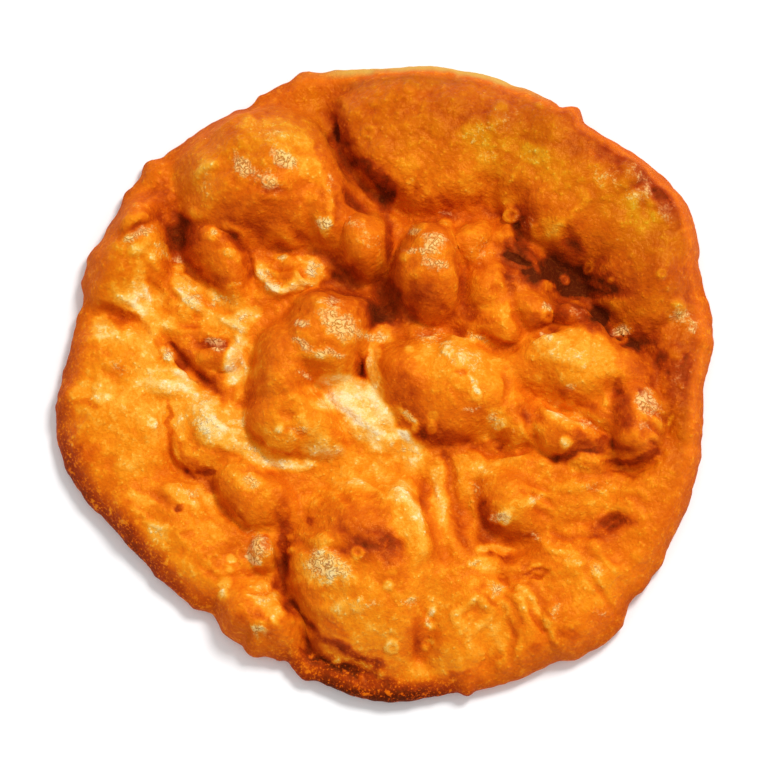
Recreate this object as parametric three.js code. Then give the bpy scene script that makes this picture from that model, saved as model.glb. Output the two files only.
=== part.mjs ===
// A plain langos: one round of yeast dough, stretched by hand and fried in deep oil.
//
// Units are millimetres, +Z is up and the bread rests on z = 0. Seen from above, +X is to
// the right and +Y away from the reader. The round is about 197 mm across.
//
// The dough is one closed skin. Its outline is a radius that changes with the angle, its
// top is a height over the plan, raised by puffed lumps and cut by the folds between them,
// its edge is a quarter round above and below, and its underside is almost flat.

import * as THREE from 'three';

// ---- driving dimensions ----

const RIM_STEP = 10;            // degrees between two radii of the outline
const RIM_RADII = [
  95.6, 99.4, 100.2, 105.3, 102.9, 98.7, 98.8, 98.4, 97.4, 95.7, 96.2, 95.7,
  94.1, 95, 96, 95.2, 96, 94.2, 96.4, 99.2, 96.7, 91.5, 89.9, 88.6,
  90, 89.8, 93.2, 96.4, 95.6, 97.4, 98.2, 102.5, 99.6, 97.8, 97.4, 96.1,
];

// Small bumps and nicks of the edge: angle, half width in degrees, and how far it goes out.
const RIM_NICKS = [
  [4.5, 4, 0.9], [24, 3, 0.8], [55, 2.6, 2.8], [104.5, 3.4, 1.7], [116, 3, -1.4],
  [137, 3, 2.2], [144, 2.4, 1.1], [156.5, 2.5, 0.9], [165, 3.5, -1.6], [184, 4, 0.9],
  [218, 3, -0.8], [234, 4, -2.4], [244.5, 3, 2], [251, 1.6, -0.8], [255, 2.4, 1.4],
  [284.5, 1.8, 1.4], [304, 3, 1.2], [317, 4, -1.6], [326, 3, 1],
];

const DOUGH = {
  floor: 8,                     // height of the thin dough between the lumps, near the edge
  middle: 3,                    // how much higher that floor is in the middle
  spread: 95,                   // radius over which it rises
  swell: 0.6,                   // slow unevenness of the floor
  root: 7,                      // height at which a lump has its full reach
  blend: 2.4,                   // how softly a lump runs into its neighbours
  least: 4.2,                   // the dough is nowhere thinner than this
};

// Nothing in a fried dough is a true ellipse: the plan is pushed about before lumps and
// folds are laid on it, and the whole skin is a little rumpled.
const UNEVEN = {
  push: 2,                      // how far slow waves push the plan
  jog: 0.9,                     // how far quick waves push it
  rumple: 0.7,                  // height of the broad rumples of the skin
  ripple: 0.35,                 // height of the narrow ones
};

const EDGE = {
  height: 3.6,                  // height of the outermost line of the rim
  round: 6,                     // width of the rounding on top
  under: 13,                    // width of the rounding below
};

const UNDERSIDE = {
  rest: 0.36,                   // share of the radius that is truly flat
  dent: 1.3,                    // depth of the dents outside that flat
};

const RINGS = {
  top: 35,                      // rings of the top, each with six points more than the last
  side: 5,                      // rings that round the edge
  bottom: 13,                   // rings of the underside
};

const CRUST = { colour: 0xd9730f, roughness: 0.42, metalness: 0 };

// ---- the lumps that the dough puffs into ----
// at: centre in plan. reach: half length and half width. turn: degrees from +X to the
// half length. top: height of the summit. flat: 2 is an ellipsoid, more is flatter on top.

const LUMPS = [
  // the far side: one big dome, and a long plateau that runs round to the right
  { name: 'north-west dome', at: [-37, 60.5], reach: [28, 24], turn: 4, top: 26.8, flat: 2.4 },
  { name: 'dome skirt', at: [-20, 57], reach: [24, 13], turn: -66, top: 21, flat: 2.4 },
  { name: 'north plateau', at: [18, 73], reach: [38, 25], turn: -4, top: 20, flat: 3.2 },
  { name: 'north-east plateau', at: [55, 61], reach: [40, 25], turn: -34, top: 21.5, flat: 3.2 },
  { name: 'east plateau', at: [78, 38], reach: [29, 18], turn: 78, top: 20, flat: 2.8 },
  { name: 'east hem', at: [88, 0], reach: [36, 11], turn: 90, top: 13.5, flat: 2.4 },

  // the middle: round bubbles that crowd each other
  { name: 'middle bubble', at: [13, 32.5], reach: [17, 13.5], turn: 96, top: 25.5, flat: 2.6 },
  { name: 'tucked bubble', at: [-7, 40.5], reach: [13, 9.5], turn: 98, top: 22.5, flat: 2.4 },
  { name: 'centre dome', at: [-17.5, 11], reach: [16.5, 16.5], turn: 0, top: 27, flat: 2.8 },
  { name: 'centre shoulder', at: [-29, 3], reach: [18, 13.5], turn: 70, top: 24.8, flat: 3 },
  { name: 'centre body', at: [-30, -11], reach: [17, 12.5], turn: 84, top: 22.5, flat: 3 },
  { name: 'centre neck', at: [-31, -3], reach: [12, 11], turn: 80, top: 23.6, flat: 3 },
  { name: 'body apron', at: [-23, -12], reach: [15, 11], turn: -60, top: 19.4, flat: 2.6 },
  { name: 'cream pad', at: [-7, -9], reach: [17, 12], turn: -52, top: 13.6, flat: 3 },

  // right of the middle: the low saddle under the plateau, with knobs of its own
  { name: 'saddle', at: [35, 27], reach: [24, 17], turn: 62, top: 17.5, flat: 2.4 },
  { name: 'saddle brow', at: [27, 39], reach: [9, 7], turn: 20, top: 18.2, flat: 2.2 },
  { name: 'saddle knob', at: [31, 26.5], reach: [11, 8.5], turn: 60, top: 19.4, flat: 2.2 },
  { name: 'saddle foot', at: [33.5, 16], reach: [10, 8], turn: 0, top: 18.6, flat: 2.2 },
  { name: 'saddle heel', at: [44, 20], reach: [10, 8], turn: -30, top: 17.6, flat: 2.2 },
  { name: 'pocket lump', at: [55.5, 15.5], reach: [9.5, 5.5], turn: -40, top: 17, flat: 2.2 },

  // the right: long lobes, a wing below them and a round bubble at their end
  { name: 'east lobe', at: [19, -4], reach: [26, 20], turn: -14, top: 22, flat: 2.8 },
  { name: 'far east lobe', at: [57, 3], reach: [30, 14], turn: -8, top: 20.5, flat: 2.6 },
  { name: 'end saddle', at: [66, -9], reach: [14, 14], turn: 0, top: 17, flat: 2.4 },
  { name: 'lobe bridge', at: [38, -13], reach: [13, 10], turn: -10, top: 18, flat: 2.4 },
  { name: 'wing', at: [54.5, -17.5], reach: [17, 10], turn: -32, top: 19.5, flat: 2.4 },
  { name: 'end bubble', at: [74, -13.7], reach: [15, 11], turn: 84, top: 21.5, flat: 2.6 },

  // the left: low rolls of the thin edge
  { name: 'west shoulder', at: [-77.5, 37], reach: [24, 15], turn: 66, top: 16.5, flat: 2.4 },
  { name: 'shoulder tab', at: [-75.5, 45.5], reach: [14, 8], turn: 62, top: 16.8, flat: 2.8 },
  { name: 'west knuckle', at: [-48.5, 38], reach: [18, 7.5], turn: -58, top: 16.4, flat: 2.2 },
  { name: 'knuckle saddle', at: [-44, 43.5], reach: [9, 6], turn: -50, top: 16, flat: 2.2 },
  { name: 'upper fold', at: [-27.5, 29.5], reach: [10.5, 6], turn: -12, top: 12.4, flat: 2 },
  { name: 'west knob', at: [-51, 7], reach: [8, 5.5], turn: -10, top: 14, flat: 2.4 },
  { name: 'west apron', at: [-79, -9], reach: [36, 21], turn: 82, top: 13, flat: 2.8 },
  { name: 'south-west apron', at: [-66, -43], reach: [32, 16], turn: -46, top: 12.5, flat: 2.6 },
  { name: 'crescent lobe', at: [-48, -18], reach: [17, 13], turn: -36, top: 14, flat: 2.4 },
  { name: 'lower lobe', at: [-37, -36], reach: [15, 10], turn: -38, top: 15.6, flat: 2.4 },
  { name: 'ring blister', at: [-37, -51.5], reach: [5.8, 5.8], turn: 0, top: 14.2, flat: 2.4 },
  { name: 'corner lump', at: [-37, -71], reach: [17, 11], turn: -34, top: 15.6, flat: 2.4 },

  // the near side: one big lobe, and the rumpled apron on its right
  { name: 'south lobe', at: [-4, -57], reach: [33, 27], turn: 84, top: 23.5, flat: 2.4 },
  { name: 'south slope', at: [21, -64], reach: [30, 17], turn: 96, top: 16, flat: 2.6 },
  { name: 'lower right lump', at: [38, -37], reach: [14, 12.5], turn: 20, top: 18, flat: 2.4 },
  { name: 'right hollow', at: [50, -32], reach: [27, 18], turn: 20, top: 14, flat: 3 },
  { name: 'south-east apron', at: [52, -63], reach: [34, 21], turn: 36, top: 14, flat: 2.8 },
  { name: 'lower east hem', at: [80, -36], reach: [30, 15], turn: 66, top: 13.5, flat: 2.6 },
];

// ---- the folds: lines where the dough sinks in, or stands up where rise is positive ----

const FOLDS = [
  {
    name: 'plateau cleft',
    wide: 5.2,
    rise: -5.5,
    line: [[-20, 88], [-12.5, 71], [-5, 62], [3, 55], [10, 48]],
  },
  {
    name: 'dome cleft',
    wide: 6,
    rise: -4,
    line: [[-75, 58], [-67, 51], [-62, 44], [-59, 36], [-51, 28], [-43, 24]],
  },
  { name: 'dome foot', wide: 5, rise: -1.6, line: [[-43, 43], [-36, 40], [-28, 38], [-16, 35]] },
  { name: 'knuckle groove', wide: 3, rise: -1.6, line: [[-43, 41], [-40.5, 35], [-39.5, 29], [-38, 24]] },
  { name: 'middle hole', wide: 6.5, rise: -4.6, line: [[0, 42], [-2, 27], [1, 12]] },
  { name: 'hole shadow', wide: 7, rise: -3.2, line: [[-23, 36], [-12, 28], [1, 22]] },
  {
    name: 'north-east valley',
    wide: 10,
    rise: -3.2,
    line: [[34, 40], [48, 33], [60, 27], [71, 17], [86, 4]],
  },
  { name: 'valley pocket', wide: 4.5, rise: -2.6, line: [[32, 41], [39, 35], [45, 29]] },
  { name: 'burnt pocket', wide: 5, rise: -2.4, line: [[40, 56], [42, 46], [40, 37]] },
  { name: 'dome slot', wide: 2.6, rise: -3.6, line: [[-6, 9], [-6.3, 2.5], [-8, -4]] },
  { name: 'lobe cleft', wide: 3.6, rise: -3, line: [[43, -2], [55, -11.5], [68, -20]] },
  {
    name: 'wing shadow',
    wide: 3.6,
    rise: -2.4,
    line: [
      [40, -21], [53.5, -24.2], [60.4, -21.6], [64, -21.4],
      [68, -24.8], [73, -27.4], [79, -25.8], [86, -19],
    ],
  },
  { name: 'apron fold', wide: 3.6, rise: -3, line: [[-94, 22], [-82, 19.5], [-74, 14.5], [-67, 2]] },
  { name: 'knob fold', wide: 3.2, rise: -2.2, line: [[-68, 13], [-60, 4], [-48, -8]] },
  { name: 'crescent', wide: 3, rise: -1.4, line: [[-65, -6], [-64, -20], [-58, -29], [-47, -32]] },
  { name: 'lower crescent', wide: 3, rise: -1.4, line: [[-51, -28], [-48, -39], [-41, -46], [-31, -46]] },
  {
    name: 'south cleft',
    wide: 4.8,
    rise: -3.4,
    line: [[-31, -35], [-30, -50], [-29, -66], [-23, -79], [-10, -88], [14, -92]],
  },
  { name: 'lump shadow', wide: 4.2, rise: -3, line: [[25, -30], [26, -45], [31, -50], [45, -51]] },
  { name: 'apron dent', wide: 4.4, rise: -2.8, line: [[62, -49], [67.5, -44.5], [73, -42]] },
  { name: 'south ridge', wide: 5, rise: 1.6, line: [[0, -28], [9, -46], [14, -64]] },
  { name: 'apron ridge', wide: 5, rise: 1.8, line: [[33, -60], [41, -69], [47, -82]] },
  { name: 'apron crease', wide: 3.4, rise: -1.2, line: [[36, -57], [45, -62], [49, -82]] },
  { name: 'saddle ridge', wide: 4, rise: 1.4, line: [[50, 22], [56, 16], [63, 9]] },
];

// ---- small helpers ----

const radians = (degrees) => THREE.MathUtils.degToRad(degrees);

// The larger of two heights, with the corner between them rounded off.
function softMax(a, b, blend) {
  const near = Math.max(blend - Math.abs(a - b), 0) / blend;
  return Math.max(a, b) + near * near * blend / 4;
}

// A bump that is 1 in the middle and 0 from the distance 1 outwards.
function hump(distance) {
  const left = Math.max(1 - distance * distance, 0);
  return left * left;
}

// How near a point of the plan is to a line of several points, and how far along it lies.
function nearLine(x, y, line) {
  let apart = Infinity;
  let progress = 0;
  for (let i = 0; i + 1 < line.length; i += 1) {
    const [ax, ay] = line[i];
    const [bx, by] = line[i + 1];
    const along = ((x - ax) * (bx - ax) + (y - ay) * (by - ay)) / ((bx - ax) ** 2 + (by - ay) ** 2);
    const t = THREE.MathUtils.clamp(along, 0, 1);
    const distance = Math.hypot(x - ax - t * (bx - ax), y - ay - t * (by - ay));
    if (distance < apart) {
      apart = distance;
      progress = (i + t) / (line.length - 1);
    }
  }
  return { apart, progress };
}

// ---- the outline ----

// Radius of the edge at an angle in degrees: a smooth curve through the radii, plus nicks.
function rimRadius(angle) {
  const turn = ((angle % 360) + 360) % 360;
  const slot = Math.floor(turn / RIM_STEP);
  const t = turn / RIM_STEP - slot;
  const [a, b, c, d] = [-1, 0, 1, 2].map((k) => (
    RIM_RADII[(slot + k + RIM_RADII.length) % RIM_RADII.length]
  ));
  const smooth = b + 0.5 * t * (c - a + t * (2 * a - 5 * b + 4 * c - d + t * (3 * (b - c) + d - a)));
  return RIM_NICKS.reduce((radius, [at, half, out]) => {
    const apart = Math.abs(((turn - at + 540) % 360) - 180);
    return radius + out * hump(apart / half);
  }, smooth);
}

// ---- the top ----

// Where a point of the plan lies once the dough has been pushed about.
function pushed(x, y) {
  const slowX = Math.sin(y / 9.5 + 1.1) * Math.cos(x / 14 + 0.6);
  const slowY = Math.sin(x / 10.5 + 2.2) * Math.cos(y / 12 + 1.9);
  const quickX = Math.sin((x + y) / 4.6 + 0.3);
  const quickY = Math.sin((x - y) / 5.2 + 2.1);
  return [
    x + UNEVEN.push * slowX + UNEVEN.jog * quickX,
    y + UNEVEN.push * slowY + UNEVEN.jog * quickY,
  ];
}

function rumples(x, y) {
  const across = Math.sin(x / 4.4 + 1.7 * Math.sin(y / 9 + 0.5));
  const along = Math.sin(y / 4.9 + 1.5 * Math.sin(x / 8 + 1.2));
  const narrow = Math.sin(x / 2.6 - y / 3.1 + 2 * Math.sin(y / 6));
  return UNEVEN.rumple * across * along + UNEVEN.ripple * narrow;
}

function floorHeight(x, y) {
  const waves = Math.sin(x / 11 + 1.3) * Math.cos(y / 13 - 0.4) + 0.5 * Math.sin((x - y) / 6.5);
  return DOUGH.floor + DOUGH.middle * hump(Math.hypot(x, y) / DOUGH.spread) + DOUGH.swell * waves;
}

// The cap of a lump: its summit in the middle, its root height at its full reach.
function lumpHeight(lump, x, y) {
  const turn = radians(lump.turn);
  const dx = x - lump.at[0];
  const dy = y - lump.at[1];
  const along = (dx * Math.cos(turn) + dy * Math.sin(turn)) / lump.reach[0];
  const across = (dy * Math.cos(turn) - dx * Math.sin(turn)) / lump.reach[1];
  return lump.top - (lump.top - DOUGH.root) * Math.hypot(along, across) ** lump.flat;
}

// A fold is deepest half way along and runs out at both ends.
function foldHeight(fold, x, y) {
  const { apart, progress } = nearLine(x, y, fold.line);
  return fold.rise * hump(apart / fold.wide) * Math.sin(Math.PI * progress);
}

function topHeight(x, y) {
  const [px, py] = pushed(x, y);
  const lumped = LUMPS.reduce(
    (height, lump) => softMax(height, lumpHeight(lump, px, py), DOUGH.blend),
    floorHeight(x, y),
  );
  const folded = FOLDS.reduce((height, fold) => height + foldHeight(fold, px, py), lumped);
  return Math.max(folded + rumples(x, y), DOUGH.least);
}

// ---- the underside ----

// Shallow dents that the hot oil leaves, outside the flat the bread rests on.
function bottomHeight(x, y, share) {
  const waves = Math.sin(x / 7.5) * Math.sin(y / 8.5 + 1) + 0.4 * Math.sin((x + y) / 5);
  const fade = THREE.MathUtils.smoothstep(share, UNDERSIDE.rest, UNDERSIDE.rest + 0.15);
  return UNDERSIDE.dent * fade * Math.max(waves - 0.25, 0);
}

// ---- rings of points, from the summit over the edge to the middle of the underside ----

// One ring of the plan: inset millimetres in from the edge, or a share of what is left.
function ring(count, share, inset, heightAt) {
  return Array.from({ length: count }, (_, i) => {
    const angle = 360 * i / count;
    const radius = share * (rimRadius(angle) - inset);
    const x = radius * Math.cos(radians(angle));
    const y = radius * Math.sin(radians(angle));
    return new THREE.Vector3(x, y, heightAt(x, y, radius / rimRadius(angle)));
  });
}

function breadRings() {
  const rings = [];
  const rimCount = 6 * RINGS.top;
  for (let k = 0; k <= RINGS.top; k += 1) {
    rings.push(ring(Math.max(6 * k, 1), k / RINGS.top, EDGE.round, topHeight));
  }
  for (let k = 1; k < RINGS.side; k += 1) {
    const angle = radians(90 - 180 * k / RINGS.side);
    const above = angle > 0;
    const inset = (above ? EDGE.round : EDGE.under) * (1 - Math.cos(angle));
    rings.push(ring(rimCount, 1, inset, (x, y) => (
      EDGE.height + Math.sin(angle) * (above ? topHeight(x, y) - EDGE.height : EDGE.height)
    )));
  }
  for (let k = RINGS.bottom; k >= 0; k -= 1) {
    rings.push(ring(Math.max(6 * k, 1), k / RINGS.bottom, EDGE.under, bottomHeight));
  }
  return rings;
}

// ---- the skin: triangles between each ring and the next ----

// Walks round two rings at once and always closes the triangle that lags behind.
function stitch(outerStart, outerCount, innerStart, innerCount) {
  const triangles = [];
  let outer = 0;
  let inner = 0;
  const outerEnd = outerCount > 1 ? outerCount : 0;
  const innerEnd = innerCount > 1 ? innerCount : 0;
  while (outer < outerEnd || inner < innerEnd) {
    const a = outerStart + outer % outerCount;
    const b = innerStart + inner % innerCount;
    const outerNext = outer < outerEnd ? (outer + 1) / outerCount : Infinity;
    const innerNext = inner < innerEnd ? (inner + 1) / innerCount : Infinity;
    if (outerNext <= innerNext) {
      outer += 1;
      triangles.push(a, outerStart + outer % outerCount, b);
    } else {
      inner += 1;
      triangles.push(a, innerStart + inner % innerCount, b);
    }
  }
  return triangles;
}

function breadGeometry() {
  const rings = breadRings();
  const positions = rings.flat().flatMap((point) => point.toArray());
  const triangles = [];
  let start = 0;
  for (let k = 0; k + 1 < rings.length; k += 1) {
    const next = start + rings[k].length;
    triangles.push(...stitch(next, rings[k + 1].length, start, rings[k].length));
    start = next;
  }
  const geometry = new THREE.BufferGeometry();
  geometry.setAttribute('position', new THREE.Float32BufferAttribute(positions, 3));
  geometry.setIndex(triangles);
  geometry.computeBoundingBox();
  const middle = geometry.boundingBox.getCenter(new THREE.Vector3());
  geometry.translate(-middle.x, -middle.y, -geometry.boundingBox.min.z);
  geometry.computeVertexNormals();
  return geometry;
}

// ---- the bread ----

const crust = new THREE.MeshStandardMaterial({
  color: CRUST.colour,
  roughness: CRUST.roughness,
  metalness: CRUST.metalness,
  name: 'fried crust',
});

const langos = new THREE.Mesh(breadGeometry(), crust);
langos.name = 'langos';

const group = new THREE.Group();
group.add(langos);

export default group;
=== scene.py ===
# %% [markdown]
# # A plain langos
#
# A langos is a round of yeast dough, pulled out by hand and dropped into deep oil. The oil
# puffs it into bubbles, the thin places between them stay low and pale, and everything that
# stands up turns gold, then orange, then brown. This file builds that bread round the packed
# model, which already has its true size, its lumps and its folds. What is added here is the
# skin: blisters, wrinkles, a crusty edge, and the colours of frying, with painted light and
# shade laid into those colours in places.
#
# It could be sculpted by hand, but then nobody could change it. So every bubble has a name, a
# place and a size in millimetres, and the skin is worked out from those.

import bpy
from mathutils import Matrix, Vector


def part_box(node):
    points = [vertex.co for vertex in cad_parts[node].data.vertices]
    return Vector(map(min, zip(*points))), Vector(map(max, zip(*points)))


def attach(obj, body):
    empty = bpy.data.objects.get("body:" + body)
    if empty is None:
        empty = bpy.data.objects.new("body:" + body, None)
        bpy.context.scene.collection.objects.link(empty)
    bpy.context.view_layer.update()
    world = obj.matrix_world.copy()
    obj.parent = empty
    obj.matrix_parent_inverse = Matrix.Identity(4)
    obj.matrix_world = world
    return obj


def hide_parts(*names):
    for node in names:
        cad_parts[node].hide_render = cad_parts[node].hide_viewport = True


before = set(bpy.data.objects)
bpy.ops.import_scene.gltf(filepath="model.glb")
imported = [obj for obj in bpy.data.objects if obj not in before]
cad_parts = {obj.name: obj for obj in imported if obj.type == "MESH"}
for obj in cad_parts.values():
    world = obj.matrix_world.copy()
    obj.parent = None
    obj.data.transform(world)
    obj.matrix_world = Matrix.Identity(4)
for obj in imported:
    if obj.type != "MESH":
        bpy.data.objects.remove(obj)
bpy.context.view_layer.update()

# %% What the lesson needs
import math
from collections import namedtuple

import bpy
import numpy as np

MM = 0.001

# %% [markdown]
# ## The outline
#
# The edge of the bread is a radius for every direction, like the rim of a badly thrown plate.
# A radius every ten degrees gives its slow shape, and a few named nicks and bumps give the
# places where the dough tore or folded. A drawn curve would do as well, but radii can't cross.

# %% The outline's radii and nicks
RIM_STEP = 10
RIM_RADII = np.array([
    95.6, 99.4, 100.2, 105.3, 102.9, 98.7, 98.8, 98.4, 97.4, 95.7, 96.2, 95.7,
    94.1, 95, 96, 95.2, 96, 94.2, 96.4, 99.2, 96.7, 91.5, 89.9, 88.6,
    90, 89.8, 93.2, 96.4, 95.6, 97.4, 98.2, 102.5, 99.6, 97.8, 97.4, 96.1,
])
Nick = namedtuple("Nick", "at half out")
RIM_NICKS = [Nick(*row) for row in [
    (4.5, 4, 0.9), (24, 3, 0.8), (55, 2.6, 2.8), (104.5, 3.4, 1.7), (116, 3, -1.4), (137, 3, 2.2),
    (144, 2.4, 1.1), (156.5, 2.5, 0.9), (165, 3.5, -1.6), (184, 4, 0.9), (218, 3, -0.8),
    (234, 4, -2.4), (244.5, 3, 2), (251, 1.6, -0.8), (255, 2.4, 1.4), (284.5, 1.8, 1.4),
    (304, 3, 1.2), (317, 4, -1.6), (326, 3, 1),
]]


def hump(distance):
    """1 in the middle, 0 from the distance 1 outwards."""
    return np.maximum(1 - distance ** 2, 0) ** 2


def angle_between(a, b):
    """The smaller angle between two directions, all in degrees."""
    return np.abs(np.mod(a - b + 180, 360) - 180)


def rim_radius(angle):
    """Radius of the edge in millimetres, for angles in degrees."""
    turn = np.mod(angle, 360)
    slot = np.floor(turn / RIM_STEP).astype(int)
    t = turn / RIM_STEP - slot
    a, b, c, d = (RIM_RADII[(slot + k) % len(RIM_RADII)] for k in (-1, 0, 1, 2))
    radius = b + 0.5 * t * (c - a + t * (2 * a - 5 * b + 4 * c - d + t * (3 * (b - c) + d - a)))
    for nick in RIM_NICKS:
        radius = radius + nick.out * hump(angle_between(turn, nick.at) / nick.half)
    return radius


print("the outline runs from", RIM_RADII.min(), "to", RIM_RADII.max(), "mm from the middle")

# %% [markdown]
# ## The lumps and the folds
#
# A bubble in fried dough is a cap: steep at its foot, round on top. Each lump here is such a
# cap over an ellipse, and where two caps meet the higher one wins, with the corner between
# them rounded a little. That gives the creases of real dough by itself. The folds are lines
# along which the dough is pulled in further. These are the same lumps and folds as in the
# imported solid, so the skin lies on it everywhere.

# %% The lumps
Lump = namedtuple("Lump", "name x y length width turn top flat")
LUMPS = [
    Lump("north-west dome", -37, 60.5, 28, 24, 4, 26.8, 2.4),
    Lump("dome skirt", -20, 57, 24, 13, -66, 21, 2.4),
    Lump("north plateau", 18, 73, 38, 25, -4, 20, 3.2),
    Lump("north-east plateau", 55, 61, 40, 25, -34, 21.5, 3.2),
    Lump("east plateau", 78, 38, 29, 18, 78, 20, 2.8),
    Lump("east hem", 88, 0, 36, 11, 90, 13.5, 2.4),
    Lump("middle bubble", 13, 32.5, 17, 13.5, 96, 25.5, 2.6),
    Lump("tucked bubble", -7, 40.5, 13, 9.5, 98, 22.5, 2.4),
    Lump("centre dome", -17.5, 11, 16.5, 16.5, 0, 27, 2.8),
    Lump("centre shoulder", -29, 3, 18, 13.5, 70, 24.8, 3),
    Lump("centre body", -30, -11, 17, 12.5, 84, 22.5, 3),
    Lump("centre neck", -31, -3, 12, 11, 80, 23.6, 3),
    Lump("body apron", -23, -12, 15, 11, -60, 19.4, 2.6),
    Lump("cream pad", -7, -9, 17, 12, -52, 13.6, 3),
    Lump("saddle", 35, 27, 24, 17, 62, 17.5, 2.4),
    Lump("saddle brow", 27, 39, 9, 7, 20, 18.2, 2.2),
    Lump("saddle knob", 31, 26.5, 11, 8.5, 60, 19.4, 2.2),
    Lump("saddle foot", 33.5, 16, 10, 8, 0, 18.6, 2.2),
    Lump("saddle heel", 44, 20, 10, 8, -30, 17.6, 2.2),
    Lump("pocket lump", 55.5, 15.5, 9.5, 5.5, -40, 17, 2.2),
    Lump("east lobe", 19, -4, 26, 20, -14, 22, 2.8),
    Lump("far east lobe", 57, 3, 30, 14, -8, 20.5, 2.6),
    Lump("end saddle", 66, -9, 14, 14, 0, 17, 2.4),
    Lump("lobe bridge", 38, -13, 13, 10, -10, 18, 2.4),
    Lump("wing", 54.5, -17.5, 17, 10, -32, 19.5, 2.4),
    Lump("end bubble", 74, -13.7, 15, 11, 84, 21.5, 2.6),
    Lump("west shoulder", -77.5, 37, 24, 15, 66, 16.5, 2.4),
    Lump("shoulder tab", -75.5, 45.5, 14, 8, 62, 16.8, 2.8),
    Lump("west knuckle", -48.5, 38, 18, 7.5, -58, 16.4, 2.2),
    Lump("knuckle saddle", -44, 43.5, 9, 6, -50, 16, 2.2),
    Lump("upper fold", -27.5, 29.5, 10.5, 6, -12, 12.4, 2),
    Lump("west knob", -51, 7, 8, 5.5, -10, 14, 2.4),
    Lump("west apron", -79, -9, 36, 21, 82, 13, 2.8),
    Lump("south-west apron", -66, -43, 32, 16, -46, 12.5, 2.6),
    Lump("crescent lobe", -48, -18, 17, 13, -36, 14, 2.4),
    Lump("lower lobe", -37, -36, 15, 10, -38, 15.6, 2.4),
    Lump("ring blister", -37, -51.5, 5.8, 5.8, 0, 14.2, 2.4),
    Lump("corner lump", -37, -71, 17, 11, -34, 15.6, 2.4),
    Lump("south lobe", -4, -57, 33, 27, 84, 23.5, 2.4),
    Lump("south slope", 21, -64, 30, 17, 96, 16, 2.6),
    Lump("lower right lump", 38, -37, 14, 12.5, 20, 18, 2.4),
    Lump("right hollow", 50, -32, 27, 18, 20, 14, 3),
    Lump("south-east apron", 52, -63, 34, 21, 36, 14, 2.8),
    Lump("lower east hem", 80, -36, 30, 15, 66, 13.5, 2.6),
]
print(len(LUMPS), "lumps")

# %% The folds
Fold = namedtuple("Fold", "name wide rise line")
FOLDS = [
    Fold("plateau cleft", 5.2, -5.5, [(-20, 88), (-12.5, 71), (-5, 62), (3, 55), (10, 48)]),
    Fold("dome cleft", 6, -4, [(-75, 58), (-67, 51), (-62, 44), (-59, 36), (-51, 28), (-43, 24)]),
    Fold("dome foot", 5, -1.6, [(-43, 43), (-36, 40), (-28, 38), (-16, 35)]),
    Fold("knuckle groove", 3, -1.6, [(-43, 41), (-40.5, 35), (-39.5, 29), (-38, 24)]),
    Fold("middle hole", 6.5, -4.6, [(0, 42), (-2, 27), (1, 12)]),
    Fold("hole shadow", 7, -3.2, [(-23, 36), (-12, 28), (1, 22)]),
    Fold("north-east valley", 10, -3.2, [(34, 40), (48, 33), (60, 27), (71, 17), (86, 4)]),
    Fold("valley pocket", 4.5, -2.6, [(32, 41), (39, 35), (45, 29)]),
    Fold("burnt pocket", 5, -2.4, [(40, 56), (42, 46), (40, 37)]),
    Fold("dome slot", 2.6, -3.6, [(-6, 9), (-6.3, 2.5), (-8, -4)]),
    Fold("lobe cleft", 3.6, -3, [(43, -2), (55, -11.5), (68, -20)]),
    Fold("wing shadow", 3.6, -2.4, [
        (40, -21), (53.5, -24.2), (60.4, -21.6), (64, -21.4),
        (68, -24.8), (73, -27.4), (79, -25.8), (86, -19),
    ]),
    Fold("apron fold", 3.6, -3, [(-94, 22), (-82, 19.5), (-74, 14.5), (-67, 2)]),
    Fold("knob fold", 3.2, -2.2, [(-68, 13), (-60, 4), (-48, -8)]),
    Fold("crescent", 3, -1.4, [(-65, -6), (-64, -20), (-58, -29), (-47, -32)]),
    Fold("lower crescent", 3, -1.4, [(-51, -28), (-48, -39), (-41, -46), (-31, -46)]),
    Fold("south cleft", 4.8, -3.4, [
        (-31, -35), (-30, -50), (-29, -66), (-23, -79), (-10, -88), (14, -92),
    ]),
    Fold("lump shadow", 4.2, -3, [(25, -30), (26, -45), (31, -50), (45, -51)]),
    Fold("apron dent", 4.4, -2.8, [(62, -49), (67.5, -44.5), (73, -42)]),
    Fold("south ridge", 5, 1.6, [(0, -28), (9, -46), (14, -64)]),
    Fold("apron ridge", 5, 1.8, [(33, -60), (41, -69), (47, -82)]),
    Fold("apron crease", 3.4, -1.2, [(36, -57), (45, -62), (49, -82)]),
    Fold("saddle ridge", 4, 1.4, [(50, 22), (56, 16), (63, 9)]),
]
print(len(FOLDS), "folds")

# %% Heights from lumps and folds
BASE_NEAR_EDGE = 8
BASE_RISE = 3
BASE_SPREAD = 95
BASE_SWELL = 0.6
LUMP_ROOT = 7
LUMP_BLEND = 1.7
LEAST_DOUGH = 4.2
PUSH_SLOW = 2
PUSH_QUICK = 0.9
RUMPLE_BROAD = 0.7
RUMPLE_NARROW = 0.35
CAP_END = 3


def soft_max(a, b, blend):
    """The larger height, with the corner between the two rounded off."""
    near = np.maximum(blend - np.abs(a - b), 0) / blend
    return np.maximum(a, b) + near ** 2 * blend / 4


def pushed(x, y):
    """Where a place of the plan lies once the dough has been pushed about."""
    slow_x = np.sin(y / 9.5 + 1.1) * np.cos(x / 14 + 0.6)
    slow_y = np.sin(x / 10.5 + 2.2) * np.cos(y / 12 + 1.9)
    quick_x = np.sin((x + y) / 4.6 + 0.3)
    quick_y = np.sin((x - y) / 5.2 + 2.1)
    new_x = x + PUSH_SLOW * slow_x + PUSH_QUICK * quick_x
    new_y = y + PUSH_SLOW * slow_y + PUSH_QUICK * quick_y
    return new_x, new_y


def turned(x, y, turn):
    """Coordinates along and across a direction given in degrees."""
    c, s = math.cos(math.radians(turn)), math.sin(math.radians(turn))
    return x * c + y * s, y * c - x * s


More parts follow.
